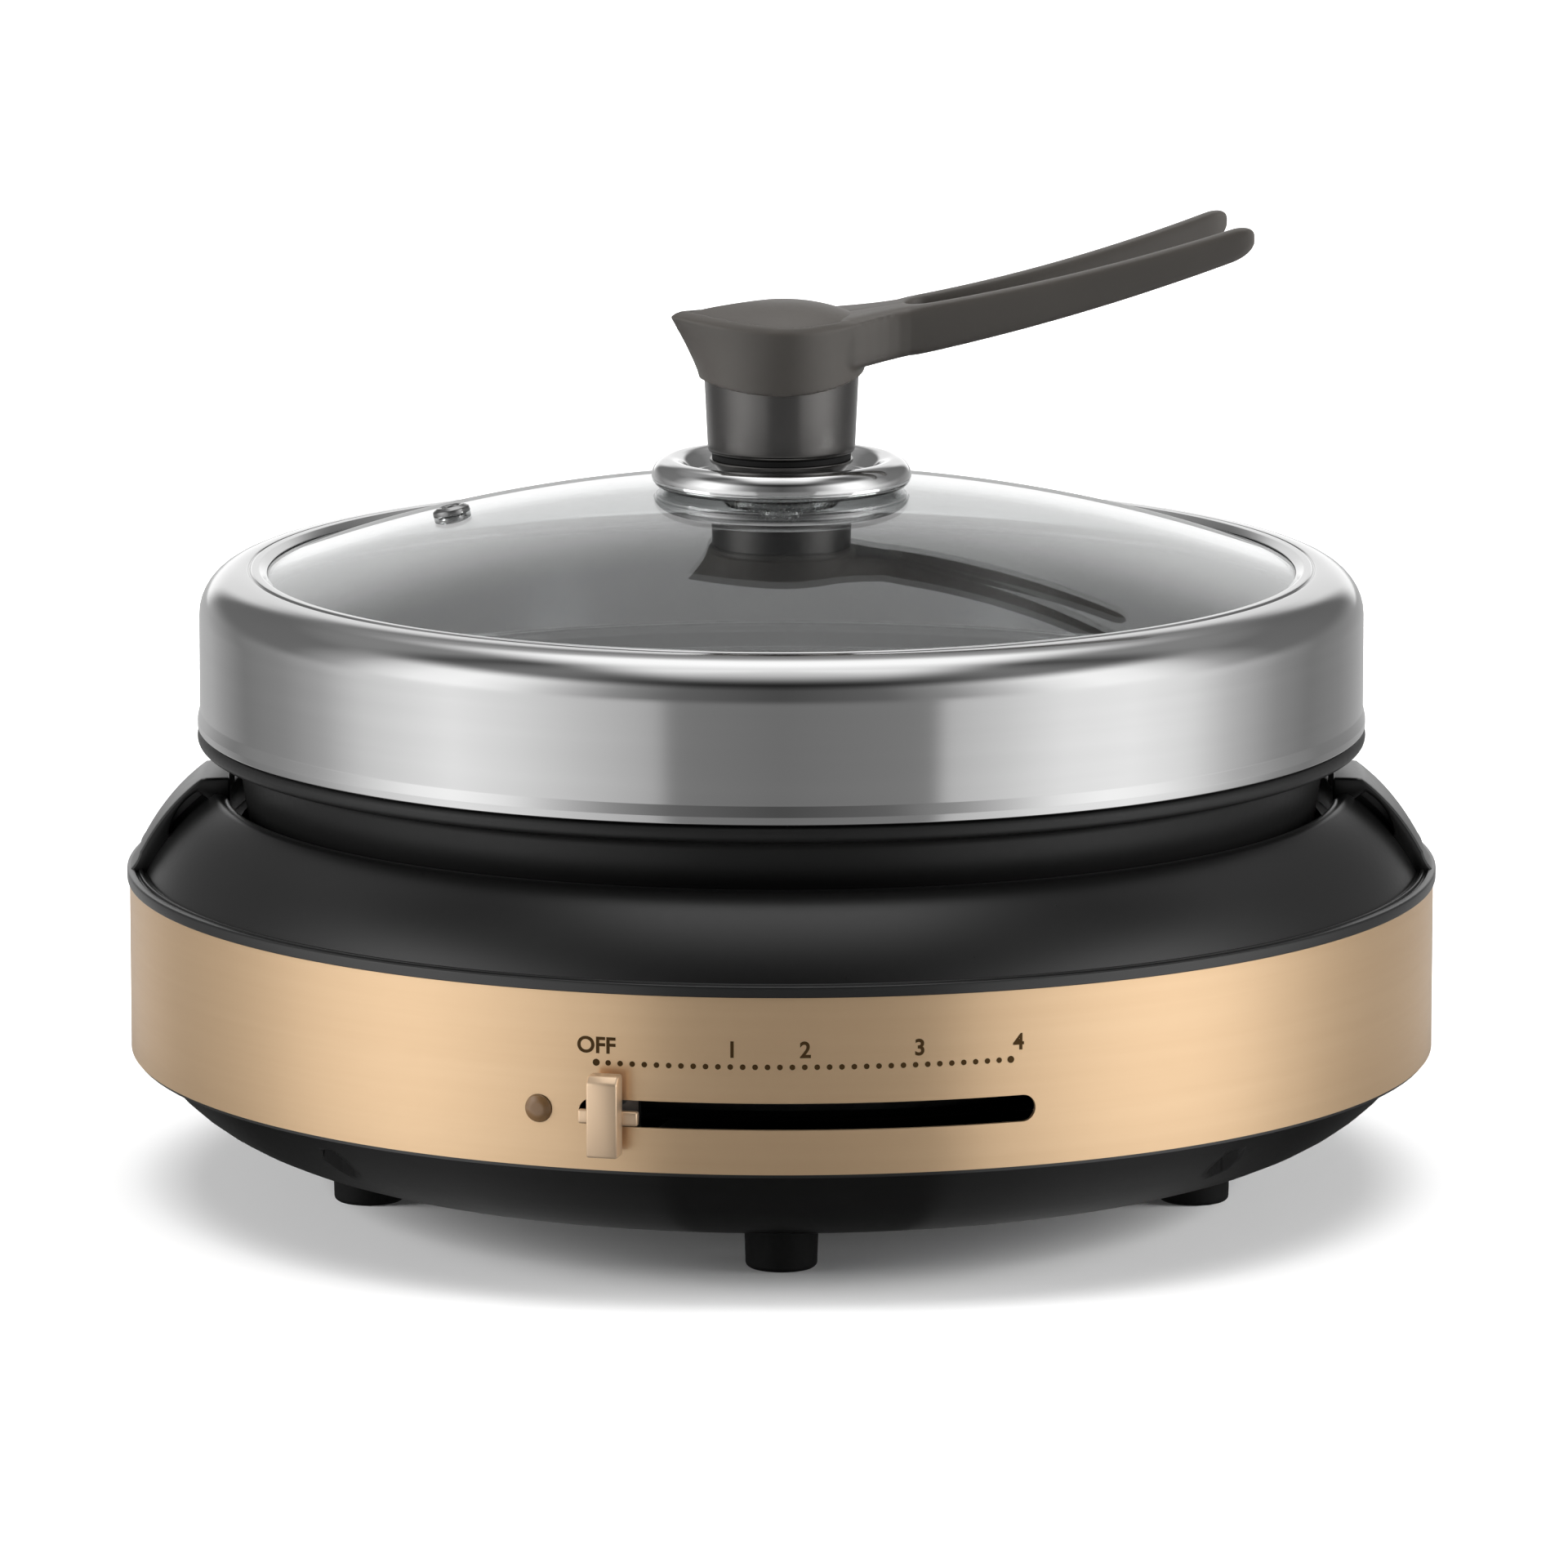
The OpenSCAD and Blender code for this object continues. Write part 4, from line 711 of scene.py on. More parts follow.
def buildPanShell(form):
    rim, high, low = panSpan()
    floor = low + form["shellFloor"]
    path = rounded(
        [
            (0, low),
            (rim - 19.9, low, form["corner"]),
            (rim - 10.5, high - 7.5, 4.5),
            (rim, high - 7.5, form["rimEdge"]),
            (rim, high - 2.8, form["rimEdge"]),
            (rim - 2.8, high - 2.8, 0.4),
            (rim - 2.8, high, 1.3),
            (rim - 6.4, high, 1.3),
            (rim - 6.9, high - 2.4, 1.5),
            (rim - 12.6, high - 6.0, 1.4),
            (rim - 12.8, high - 6.62),
            (rim - 11.95, high - 6.62),
            (rim - 21.35, floor, form["shellFillet"]),
            (0, floor),
        ],
        closed=False,
        steps=10,
    )
    return turned(path, closed=False)


def buildPanLining(form):
    rim, high, low = panSpan()
    under, floor = low + form["liningUnder"], low + form["liningFloor"]
    path = rounded(
        [
            (0, under),
            (rim - 21.4, under, form["shellFillet"]),
            (rim - 12.0, high - 6.66),
            (rim - 12.78, high - 6.66),
            (rim - 22.2, floor, form["fillet"]),
            (0, floor),
        ],
        closed=False,
        steps=10,
    )
    return turned(path, closed=False)


panNodes = ["cooking_pan", "pan_floor", "pan_rim"]
addPiece("panShell", buildPanShell(panForm), "pan", "nonstick", panNodes)
# The lining takes the lighter copy of the coating: painted light
addPiece("panLiningPaintedLight", buildPanLining(panForm), "pan", "nonstick", panNodes, "nonstick_painted_light")
print("pan built")

# Lid: steel ring, glass and its gasket
lidForm = {
    "sheet": 1.0,
    "round": 12.5,
    "hem": 0.7,
    "steps": 320,
    "domeRadius": 423.8,
    "glassRadius": 142.0,
    "glassWall": 4.0,
    "glassRings": 40,
    "lift": 2.04,
}


def buildLidRim(form):
    hem, low, _ = spanOf("lid_rim")
    high = spanOf("lid_shoulder")[2]
    wall = hem - form["hem"]
    top = high - 0.45
    sheet = form["sheet"]
    path = rounded(
        [
            (wall - sheet - 0.6, low, 0.3),
            (hem, low, 0.5),
            (hem, low + 2.2, 0.9),
            (wall + 0.05, low + 5.2, 2.0),
            (wall, top, form["round"]),
            (wall - 13.3, top + 0.1, 0.35),
            (wall - 13.8, top - 0.8, 0.3),
            (wall - 14.3, top + 0.4, 0.8),
            (wall - 16.5, top + 0.35, 1.2),
            (wall - 18.8, top - 1.0, 0.2),
            (wall - 18.5, top - 1.3, 0.1),
            (wall - 16.7, top - 0.9, 0.1),
            (wall - 16.7, top - 7, 0.3),
            (wall - 18.6, top - 7),
            (wall - 18.6, top - 8),
            (wall - 15.6, top - 8, 0.3),
            (wall - 15.6, top - 2),
            (wall - sheet, top - sheet, form["round"] - sheet),
            (wall - sheet - 0.1, low + 5),
        ],
        steps=10,
    )
    return turned(path, steps=form["steps"])


# Level of the glass at a distance from the axis, on its outside or at a depth under it
def domeLevel(form, r, depth=0.0):
    centre = spanOf("lid_glass")[2] + form["lift"] - form["domeRadius"]
    return centre + math.sqrt((form["domeRadius"] - depth) ** 2 - r * r)


def buildGlass(form):
    rings = form["glassRings"]
    steps = [form["glassRadius"] * i / rings for i in range(rings + 1)]
    outside = [(r, domeLevel(form, r)) for r in steps]
    inner = [(r, domeLevel(form, r, form["glassWall"])) for r in reversed(steps)]
    return turned(outside + inner, closed=False)


addPiece("lidRim", buildLidRim(lidForm), "lid", "lid_steel", ["lid_rim", "lid_shoulder"])
addPiece("lidGlass", buildGlass(lidForm), "lid", "lid_glass", ["lid_glass"])
dressedCopy("glass_gasket", "glassGasket", "lid", "black_rubber", edgeForm["small"])

# The steam vent's eyelet stands square on the glass
ventForm = {
    "angle": 176.0,
    "fromAxis": 91.0,
    "bore": 2.4,
    "lip": 5.2,
    "lipWall": 0.85,
    "wall": 3.9,
    "rise": 2.5,
    "below": 5.0,
}


def buildVent(form, dome):
    lip, bore, wall, below, rise = [form[key] for key in ("lip", "bore", "wall", "below", "rise")]
    path = rounded(
        [
            (bore, -below, 0.2),
            (lip, -below, 0.3),
            (lip, -below + form["lipWall"], 0.3),
            (wall, -below + form["lipWall"]),
            (wall, 0.1),
            (lip, 0.1, 0.2),
            (lip - 0.1, rise - 0.9, 0.6),
            (wall - 0.3, rise, 0.7),
            (bore, rise - 0.4, 0.4),
        ],
        steps=5,
    )
    bm = turned(path, steps=64)
    around = Matrix.Rotation(math.radians(form["angle"]), 4, "Z")
    tilt = Matrix.Rotation(math.asin(form["fromAxis"] / dome["domeRadius"]), 4, "Y")
    place = Vector((form["fromAxis"], 0, domeLevel(dome, form["fromAxis"]))) * mm
    bmesh.ops.transform(bm, verts=bm.verts, matrix=Matrix.Translation(around @ place) @ (around @ tilt))
    return bm


addPiece("ventEyelet", buildVent(ventForm, lidForm), "lid", "lid_steel", ["vent_eyelet"], "vent_steel")
print("lid built")

# Knob: bright disc with a dark collar, a rubber ring under the glass, gasket and stem
knobForm = {
    "bore": 4.0,
    "equator": 5.1,
    "tube": 5.0,
    "tubeSteps": 32,
    "seamTurn": -10,
    "dishTurn": 140,
    "seamGap": 0.5,
    "seamDepth": 1.0,
    "baseInset": 0.6,
    "baseRound": 5.0,
    "baseSteps": 14,
    "glassGap": 0.1,
    "dish": 4.6,
    "dishRun": 2.4,
    "dishRound": 2.5,
    "collarLow": 16.4,
    "collarTop": 19.7,
    "stemLow": 20.2,
    "stemEdge": 1.5,
    "sealBore": 4.5,
    "sealInset": 1.0,
    "sealGap": 0.02,
}


# A round-footed base on the glass, a fine seam, then a round ring with a dished middle
def buildDisc(form, dome):
    outer, low, high = spanOf("knob_disc")
    tube, bore = form["tube"], form["bore"]
    middle = Vector((outer - tube, low + form["equator"]))
    foot = high - form["dish"]
    shares = [i / form["tubeSteps"] for i in range(form["tubeSteps"] + 1)]
    angles = [math.radians(mix(form["seamTurn"], form["dishTurn"], share)) for share in shares]
    ring = [middle + tube * Vector((math.cos(a), math.sin(a))) for a in angles]
    edge, end = ring[0], ring[-1]
    under = [Vector((r, domeLevel(dome, r) + form["glassGap"])) for r in (bore, 12, 20, 28)]
    inset = outer - form["baseRound"]
    brim = edge.y - form["seamGap"]
    fall = brim - domeLevel(dome, inset) - form["glassGap"]
    wide = form["baseRound"] - form["baseInset"]
    turns = [math.radians(90 * i / form["baseSteps"]) for i in range(form["baseSteps"] + 1)]
    base = [Vector((inset + wide * math.sin(t), brim - fall * math.cos(t))) for t in turns]
    seam = [Vector((outer - form["seamDepth"], edge.y - drop)) for drop in (0.35, 0.05)]
    corner = (end.x - form["dishRun"], foot, form["dishRound"])
    dish = rounded([end, corner, (form["collarLow"], foot), (bore, foot)], closed=False)
    return turned(under + base + seam + ring + dish[1:])


# The rubber ring lies between the glass and the knob's washer
def buildSeal(form, dome):
    outer, _, high = spanOf("knob_washer")
    bore, edge = form["sealBore"], outer - form["sealInset"]
    level, rim = [domeLevel(dome, r, dome["glassWall"]) - form["sealGap"] for r in (bore, edge)]
    path = [(bore, high), (edge, high), (edge, rim), (bore, level)]
    return turned([Vector(p) for p in path], steps=96)


def buildCollar(form):
    high = spanOf("knob_disc")[2]
    low = high - form["dish"]
    bore, foot, top = form["bore"], form["collarLow"], form["collarTop"]
    path = [
        (bore, low),
        (foot, low),
        (foot + 0.5, low + 0.8, 0.5),
        (top, high - 0.7, 0.5),
        (top, high, 0.2),
        (bore, high),
    ]
    return turned(rounded(path, steps=5))


def buildStem(form):
    outer, low, high = spanOf("knob_stem")
    path = [
        (0, low),
        (form["stemLow"], low, form["stemEdge"]),
        (outer, high - 0.6, 0.4),
        (outer - 0.6, high, 0.4),
        (0, high),
    ]
    return turned(rounded(path, closed=False), closed=False)


addPiece("knobDisc", buildDisc(knobForm, lidForm), "lid", "chrome", ["knob_disc"])
addPiece("knobCollar", buildCollar(knobForm), "lid", "chrome", ["knob_disc"], "gunmetal")
addPiece("knobSeal", buildSeal(knobForm, lidForm), "lid", "black_rubber", ["knob_seal"])
dressedCopy("stem_gasket", "stemGasket", "lid", "black_rubber", edgeForm["small"])
addPiece("knobStem", buildStem(knobForm), "lid", "gunmetal", ["knob_stem"])
print("knob built")

# Handle: a leaf-shaped head on the stem, and a tail that forks into two prongs
handleForm = {
    "turn": 9.0,
    "skirtRadius": 22.6,
    "skirtLevel": 220.4,
    "skirtWave": 3.4,
    "skirtTilt": 1.0,
    "dipLevel": 237.4,
    "dipPlace": -2.0,
    "beakRise": 2.8,
    "beakCurve": 1.5,
    "riseFrom": 4.0,
    "riseRun": 36.0,
    "bevelRise": 2.1,
    "bevelFrom": 8.0,
    "bevelRun": 22.0,
    "beak": 31.0,
    "halfWidth": 22.6,
    "flare": 1.2,
    "neckPlace": 34.0,
    "neckDrop": 0.4,
    "headEnd": 33.0,
    "tailStart": 8.0,
    "tailLength": 128.0,
    "tailLow": 223.2,
    "tailSlope": 0.1345,
    "tailLift": 16.3,
    "rootHeight": 15.6,
    "tipHeight": 8.6,
    "neckHalfWidth": 11.0,
    "forkHalfWidth": 21.7,
    "forkCurve": 1.35,
    "squareness": 0.4,
    "prong": 4.8,
    "prongLap": 3.5,
    "forkStart": 34.2,
    "slotRound": 7.0,
    "slotRun": 8.0,
    "tipRound": 6.0,
    "tipShares": (0.4, 0.25),
    "pocketLevel": 234.2,
    "capBeak": 25.6,
    "capHalfWidth": 20.0,
    "capTail": 20.4,
    "capLevel": 244.0,
    "capGap": 0.3,
    "capWall": 0.9,
    "capDrop": 0.4,
    "capCurve": 2.2,
    "grain": 0.5,
    "smoothing": 3,
}


def tailLevels(form, u):
    along = u / form["tailLength"]
    low = form["tailLow"] + form["tailSlope"] * u + form["tailLift"] * along**2
    return low, low + mix(form["rootHeight"], form["tipHeight"], along)


def rimLevel(form, u):
    if u < form["dipPlace"]:
        reach = (form["dipPlace"] - u) / (form["dipPlace"] + form["beak"])
        return form["dipLevel"] + form["beakRise"] * reach ** form["beakCurve"]
    rise = softStep((u - form["riseFrom"]) / form["riseRun"])
    return mix(form["dipLevel"], tailLevels(form, form["neckPlace"])[1] - form["neckDrop"], rise)


# Height of the rim's rounded edge over its outside, fading out towards the tail
def rimBevel(form, u):
    return form["bevelRise"] * (1 - softStep((u - form["bevelFrom"]) / form["bevelRun"]))


# Share of the way from the widest place of a leaf outline to its end
def leafReach(angle):
    return abs(abs(math.remainder(angle, 2 * math.pi)) - math.pi / 2) / (math.pi / 2)


def beakPoint(angle, beak, halfWidth, curve=1.8):
    reach = leafReach(angle)
    return Vector((-beak * reach, math.copysign(halfWidth * (1 - reach**curve), math.sin(angle))))


# The cap's outline: pointed at the beak, half an ellipse towards the tail
def capPoint(angle, beak, halfWidth, tail):
    if math.cos(angle) >= 0:
        return Vector((tail * math.cos(angle), halfWidth * math.sin(angle)))
    return beakPoint(angle, beak, halfWidth)


# The head's outline: pointed at the beak, narrowed to the tail's neck behind
def headHalf(form, u):
    return mix(form["halfWidth"], form["neckHalfWidth"], softStep(u / form["neckPlace"]))


def headPoint(form, angle, closing=8):
    if math.cos(angle) < 0:
        return beakPoint(angle, form["beak"], form["halfWidth"])
    reach = leafReach(angle)
    u = form["headEnd"] * reach
    half = headHalf(form, u) * min(1, closing * (1 - reach))
    return Vector((u, math.copysign(half, math.sin(angle))))


def headRings(form, count=128, levels=18):
    angles = [2 * math.pi * i / count for i in range(count)]
    edge = [headPoint(form, a) for a in angles]
    pocketSize = [form[key] + form["capGap"] for key in ("capBeak", "capHalfWidth", "capTail")]
    pocket = [capPoint(a, *pocketSize) for a in angles]
    rings = []
    for j in range(levels + 1):
        t = j / levels
        ring = []
        for a, top in zip(angles, edge):
            low = form["skirtRadius"] * Vector((math.cos(a), math.sin(a)))
            wave = form["skirtWave"] * math.cos(a) ** 2
            level = form["skirtLevel"] + wave + form["skirtTilt"] * math.cos(a)
            p = low.lerp(top, t ** form["flare"])
            ring.append((p.x, p.y, mix(level, rimLevel(form, top.x), t)))
        rings.append(ring)
    for share in (0.15, 0.35, 0.6, 0.85, 1.0):
        ring = [top.lerp(p, share) for top, p in zip(edge, pocket)]
        rise = math.sin(math.radians(100 * share))
        rings.append([(p.x, p.y, rimLevel(form, p.x) + rimBevel(form, p.x) * rise) for p in ring])
    rings.append([(p.x, p.y, form["pocketLevel"]) for p in pocket])
    return rings


def prongRing(form, u, side, count=40):
    tail, length, start = form["tailStart"], form["tailLength"], form["forkStart"]
    over = clamp((u - length + form["tipRound"]) / form["tipRound"])
    shrink = math.sqrt(1 - over * over)
    low, high = tailLevels(form, u)
    spread = clamp((u - form["neckPlace"]) / (length - form["neckPlace"])) ** form["forkCurve"]
    root = mix(form["neckHalfWidth"], headHalf(form, u), softStep((u - tail) / tail))
    out = mix(root, form["forkHalfWidth"], spread)
    opened = clamp((u - start) / form["slotRound"])
    near = mix(-form["prongLap"], out - form["prong"], math.sqrt(1 - (1 - opened) ** 2))
    wide, tall = [mix(share, 1, shrink) for share in form["tipShares"]]
    halfV = (out - near) / 2 * wide
    halfZ = (high - low) / 2 * tall
    ring = []
    for i in range(count):
        angle = 2 * math.pi * (i + 0.5) / count
        c, s = math.cos(angle), math.sin(angle)
        v = (near + out) / 2 + halfV * math.copysign(abs(c) ** form["squareness"], c)
        z = (low + high) / 2 + halfZ * math.copysign(abs(s) ** form["squareness"], s)
        ring.append((u, side * v, z))
    return ring


# Places along the tail, closer together where the slot begins and at the tip
def prongStations(form):
    start, run, length, tip = [form[key] for key in ("forkStart", "slotRun", "tailLength", "tipRound")]
    return (
        [mix(form["tailStart"], start, i / 8) for i in range(8)]
        + [start + run * (i / 10) ** 2 for i in range(11)]
        + [mix(start + run, length - tip, i / 30) for i in range(1, 31)]
        + [length - tip + tip * math.sin(math.radians(88 * i / 10)) for i in range(1, 11)]
    )


# Shrink-wraps overlapping solids into one skin and smooths the joins
def weldedSkin(bm, grain, passes):
    bmesh.ops.recalc_face_normals(bm, faces=bm.faces)
    rough = newObject("handleRough", meshFrom("handleRough", bm))
    weld = rough.modifiers.new("weld", "REMESH")
    weld.mode = "VOXEL"
    weld.voxel_size = grain * mm
    soft = rough.modifiers.new("soft", "SMOOTH")
    soft.factor = 0.5
    soft.iterations = passes
    return finishedMesh(rough)


def buildHandle(form):
    bm = bmesh.new()
    stackedRings(bm, headRings(form))
    for side in (1, -1):
        stackedRings(bm, [prongRing(form, u, side) for u in prongStations(form)])
    turnMesh(bm, math.radians(form["turn"]))
    return weldedSkin(bm, form["grain"], form["smoothing"])


def buildCap(form, count=96):
    angles = [2 * math.pi * i / count for i in range(count)]
    edge = [capPoint(a, form["capBeak"], form["capHalfWidth"], form["capTail"]) for a in angles]
    rings = [[(p.x, p.y, form["pocketLevel"]) for p in edge]]
    rise = [rimLevel(form, p.x) + rimBevel(form, p.x) for p in edge]
    rings.append([(p.x, p.y, level - form["capWall"]) for p, level in zip(edge, rise)])
    for t in [math.sin(math.radians(90 - 4.4 * i)) for i in range(1, 20)]:
        ring = []
        for p, level in zip(edge, rise):
            height = mix(form["capLevel"], level - form["capDrop"], t ** form["capCurve"])
            ring.append((p.x * t, p.y * t, height))
        rings.append(ring)
    bm = stackedRings(bmesh.new(), rings)
    turnMesh(bm, math.radians(form["turn"]))
    return bm


addMesh("handleFork", buildHandle(handleForm), "lid", "handle_plastic", ["handle"], sharp=60)
addPiece("handleCap", buildCap(handleForm), "lid", "handle_plastic", ["handle_cap"], sharp=50)
print("handle built")

# Heat lever's tab and bar, the lamp's lens and the printed scale
leverForm = {
    "angle": -14.4,
    "tabWidth": 8.4,
    "tabLow": 43.1,
    "tabHigh": 64.8,
    "tabBack": 183.0,
    "tabFace": 189.2,
    "tabEdge": 0.7,
    "chamfer": 2.0,
    "barWidth": 16.2,
    "barHeight": 3.8,
    "barBack": 180.6,
    "barFace": 183.2,
    "barLevel": 52.7,
    "barEdge": 0.7,
}


def plainBox(bm, low, high):
    made = bmesh.ops.create_cube(bm, size=1)["verts"]
    size = Vector(high) - Vector(low)
    bmesh.ops.scale(bm, verts=made, vec=size * mm)
    bmesh.ops.translate(bm, verts=made, vec=(Vector(low) + size / 2) * mm)
    return edgesOf(made)


# The tab leans back at its top; the bar behind it covers the slot
def buildLever(form):
    bm = bmesh.new()
    half, wide, tall = [form[key] / 2 for key in ("tabWidth", "barWidth", "barHeight")]
    edges = plainBox(bm, (-half, -form["tabFace"], form["tabLow"]), (half, -form["tabBack"], form["tabHigh"]))
    front = min(v.co.y for v in bm.verts)
    top = max(v.co.z for v in bm.verts)
    brow = [
        edge
        for edge in edges
        if all(abs(v.co.y - front) < touching and abs(v.co.z - top) < touching for v in edge.verts)
    ]
    softenEdges(bm, brow, form["chamfer"], 1)
    softenEdges(bm, bm.edges[:], form["tabEdge"])
    level = form["barLevel"]
    bar = plainBox(bm, (-wide, -form["barFace"], level - tall), (wide, -form["barBack"], level + tall))
    softenEdges(bm, bar, form["barEdge"])
    turnMesh(bm, math.radians(form["angle"]))
    return bm


addPiece("leverTab", buildLever(leverForm), "lever", "gold_plastic", ["lever_knob"], sharp=40)

lensForm = {"angle": -20.7, "level": 53.5, "radius": 3.7, "back": 176.6, "front": 181.6, "crown": 0.55}


def buildLens(form):
    r, back, front = form["radius"], form["back"], form["front"]
    path = [(0, back), (r, back), (r, front - 1.0, 0.5), (r * form["crown"], front - 0.1, 2.5), (0, front)]
    bm = turned(rounded(path, closed=False), closed=False, steps=48)
    turnMesh(bm, math.radians(90), "X")
    bmesh.ops.translate(bm, verts=bm.verts, vec=(0, 0, form["level"] * mm))
    turnMesh(bm, math.radians(form["angle"]))
    return bm


addPiece("lampLens", buildLens(lensForm), "base", "amber_lens", ["lamp_lens"])

scaleForm = {
    "dotsFrom": -15.6,
    "dotsTo": 19.5,
    "dots": 35,
    "dotSides": 20,
    "dotLevel": 66.8,
    "dotRadius": 0.75,
    "endRadius": 0.95,
    "labelLevel": 69.4,
    "labelSize": 6.0,
    "labelWeight": 0.15,
    "labels": (("OFF", -15.6), ("1", -4.1), ("2", 2.0), ("3", 11.6), ("4", 20.2)),
    "gap": 0.01,
    "thick": 0.06,
}


def labelMesh(form, text):
    curve = bpy.data.curves.new("label", "FONT")
    curve.body = text
    curve.size = form["labelSize"] * mm
    curve.align_x = "CENTER"
    curve.offset = form["labelWeight"] * mm
    return finishedMesh(newObject("label", curve))


# The scale is laid out flat, then bent onto the band
def buildScale(form):
    radius = spanOf("side_band")[0] + form["gap"]
    last = form["dots"] - 1
    bm = bmesh.new()
    for text, angle in form["labels"]:
        before = set(bm.verts)
        bm.from_mesh(labelMesh(form, text))
        fresh = [v for v in bm.verts if v not in before]
        shift = (math.radians(angle) * radius * mm, form["labelLevel"] * mm, 0)
        bmesh.ops.translate(bm, verts=fresh, vec=shift)
    for i in range(form["dots"]):
        angle = mix(form["dotsFrom"], form["dotsTo"], i / last)
        size = form["endRadius"] if i in (0, last) else form["dotRadius"]
        dot = bmesh.ops.create_circle(bm, cap_ends=True, radius=size * mm, segments=form["dotSides"])
        shift = (math.radians(angle) * radius * mm, form["dotLevel"] * mm, 0)
        bmesh.ops.translate(bm, verts=dot["verts"], vec=shift)
    bmesh.ops.recalc_face_normals(bm, faces=bm.faces)
    for face in bm.faces:
        if face.normal.z < 0:
            face.normal_flip()
    bmesh.ops.solidify(bm, geom=bm.faces[:], thickness=form["thick"] * mm)
    base = min(v.co.z for v in bm.verts)
    for vert in bm.verts:
        out = radius * mm + vert.co.z - base
        angle = vert.co.x / (radius * mm)
        vert.co = Vector((out * math.sin(angle), -out * math.cos(angle), vert.co.y))
    return bm


addPiece("heatScale", buildScale(scaleForm), "base", "gold_metal", [], "print", sharp=40, merge=False)
print("lever, lamp and scale built")

# Studio: pale floor, soft lights, white surroundings. The levels of "around" and "boxes" go round the
# compass in shares of a turn from the back; a fade has two bounds and the levels at them.
studioForm = {
    "lights": (
        ("leftLight", (-2.2, -0.3, 0.75), (0, 0, 0.05), 1.2, 76.0),
        ("rightLight", (2.2, -0.3, 0.75), (0, 0, 0.05), 1.2, 80.0),
        ("topLight", (0.0, 0.2, 2.6), (0, 0, 0.1), 3.0, 92.0),
    ),
    "ambient": 0.09,
    "floorHalf": 12,
    "paper": 0.9,
    # Painted shade: the floor's glow for the camera, low near the part
    "paperGlowPaintedShade": (0.25, 1.4, 0.03, 0.75),
    # Painted reflection and shadow: the floor's emission to reflections, darker near the part
    "floorPaintedReflection": (0.19, 0.35, 0.14, 1.0),
    "standHalf": 0.09,
    "standReach": 0.2,
    "boxFoot": (0.0, 0.2, 0.0, 1.0),
    "boxTop": (0.54, 0.76, 1.0, 0.17),
    "overhead": 1.45,
    "stripLean": 0.35,
    "stripStart": (0.52, 1.2, 0.0, 1.0),
    "stripSide": (0.2, 0.45, 1.0, 0.0),
    "stripBack": (0.5, 0.72, 1.0, 0.14),
    "ceiling": (0.5, 0.75, 0.0, 0.3),
    "ceilingBack": (0.05, 0.35, 0.0, 1.0),
    "backdrop": 0.8,
    "backdropFrom": (0.75, 0.9, 0.0, 1.0),
    "backdropSide": (0.25, 0.4, 1.0, 0.0),
    "backdropTop": (0.3, 0.55, 1.0, 0.0),
    "around": (
        (0.0, 0.55), (0.06, 0.52), (0.125, 0.26), (0.175, 0.36), (0.213, 0.55), (0.247, 0.9),
        (0.311, 1.24), (0.353, 1.04), (0.392, 0.8), (0.433, 0.6), (0.44, 0.29), (0.5, 0.24),
        (0.565, 0.29), (0.583, 0.3), (0.59, 0.72), (0.621, 0.9), (0.66, 1.2), (0.703, 1.3),
        (0.744, 1.1), (0.777, 0.72), (0.823, 0.38), (0.861, 0.26), (0.912, 0.32), (1.0, 0.55),
    ),
    "boxes": (
        (0.0, 0.15), (0.125, 0.2), (0.185, 0.22), (0.225, 0.5), (0.255, 1.0), (0.285, 1.4),
        (0.315, 1.5), (0.345, 1.25), (0.375, 0.78), (0.405, 0.4), (0.44, 0.18), (0.5, 0.1),
        (0.56, 0.18), (0.595, 0.4), (0.625, 0.78), (0.655, 1.25), (0.685, 1.5), (0.715, 1.4),
        (0.745, 1.0), (0.775, 0.5), (0.815, 0.22), (0.875, 0.2), (0.94, 0.16), (1.0, 0.15),
    ),
}


def addLight(name, place, aim, size, power):
    data = bpy.data.lights.new(name, "AREA")
    data.shape = "RECTANGLE"
    data.size = data.size_y = size
    data.energy = power
    light = newObject(name, data)
    light.location = place
    light.rotation_euler = (Vector(aim) - Vector(place)).to_track_quat("-Z", "Y").to_euler()
    light.visible_glossy = False


# A value that goes smoothly from one level to another between two bounds
def fadeNode(tree, value, start, end, low, high):
    node = tree.nodes.new("ShaderNodeMapRange")
    node.interpolation_type = "SMOOTHSTEP"
    tree.links.new(value, node.inputs["Value"])
    for label, bound in (("From Min", start), ("From Max", end), ("To Min", low), ("To Max", high)):
        node.inputs[label].default_value = bound
    return node.outputs["Result"]


def times(tree, first, second):
    return mathNode(tree, "MULTIPLY", first, second)


def plus(tree, first, second):
    return mathNode(tree, "ADD", first, second)


def pickShader(tree, share, first, second):
    pick = tree.nodes.new("ShaderNodeMixShader")
    for socket, source in zip(pick.inputs, (share, first, second)):
        tree.links.new(source, socket)
    return pick.outputs[0]


# Levels round the compass, for the surroundings and for the floor's painted reflection
def compassLevels(tree, x, y, stops, widen=1.0):
    angle = times(tree, mathNode(tree, "ARCTAN2", x, times(tree, y, -1)), widen)
    share = plus(tree, times(tree, angle, 0.5 / math.pi), 0.5)
    ramp = tree.nodes.new("ShaderNodeValToRGB")
    points = ramp.color_ramp.elements
    while len(points) < len(stops):
        points.new(0.5)
    for point, (place, level) in zip(points, stops):
        point.position = place
        point.color = (level, level, level, 1)
    tree.links.new(share, ramp.inputs[0])
    return ramp.outputs[0]
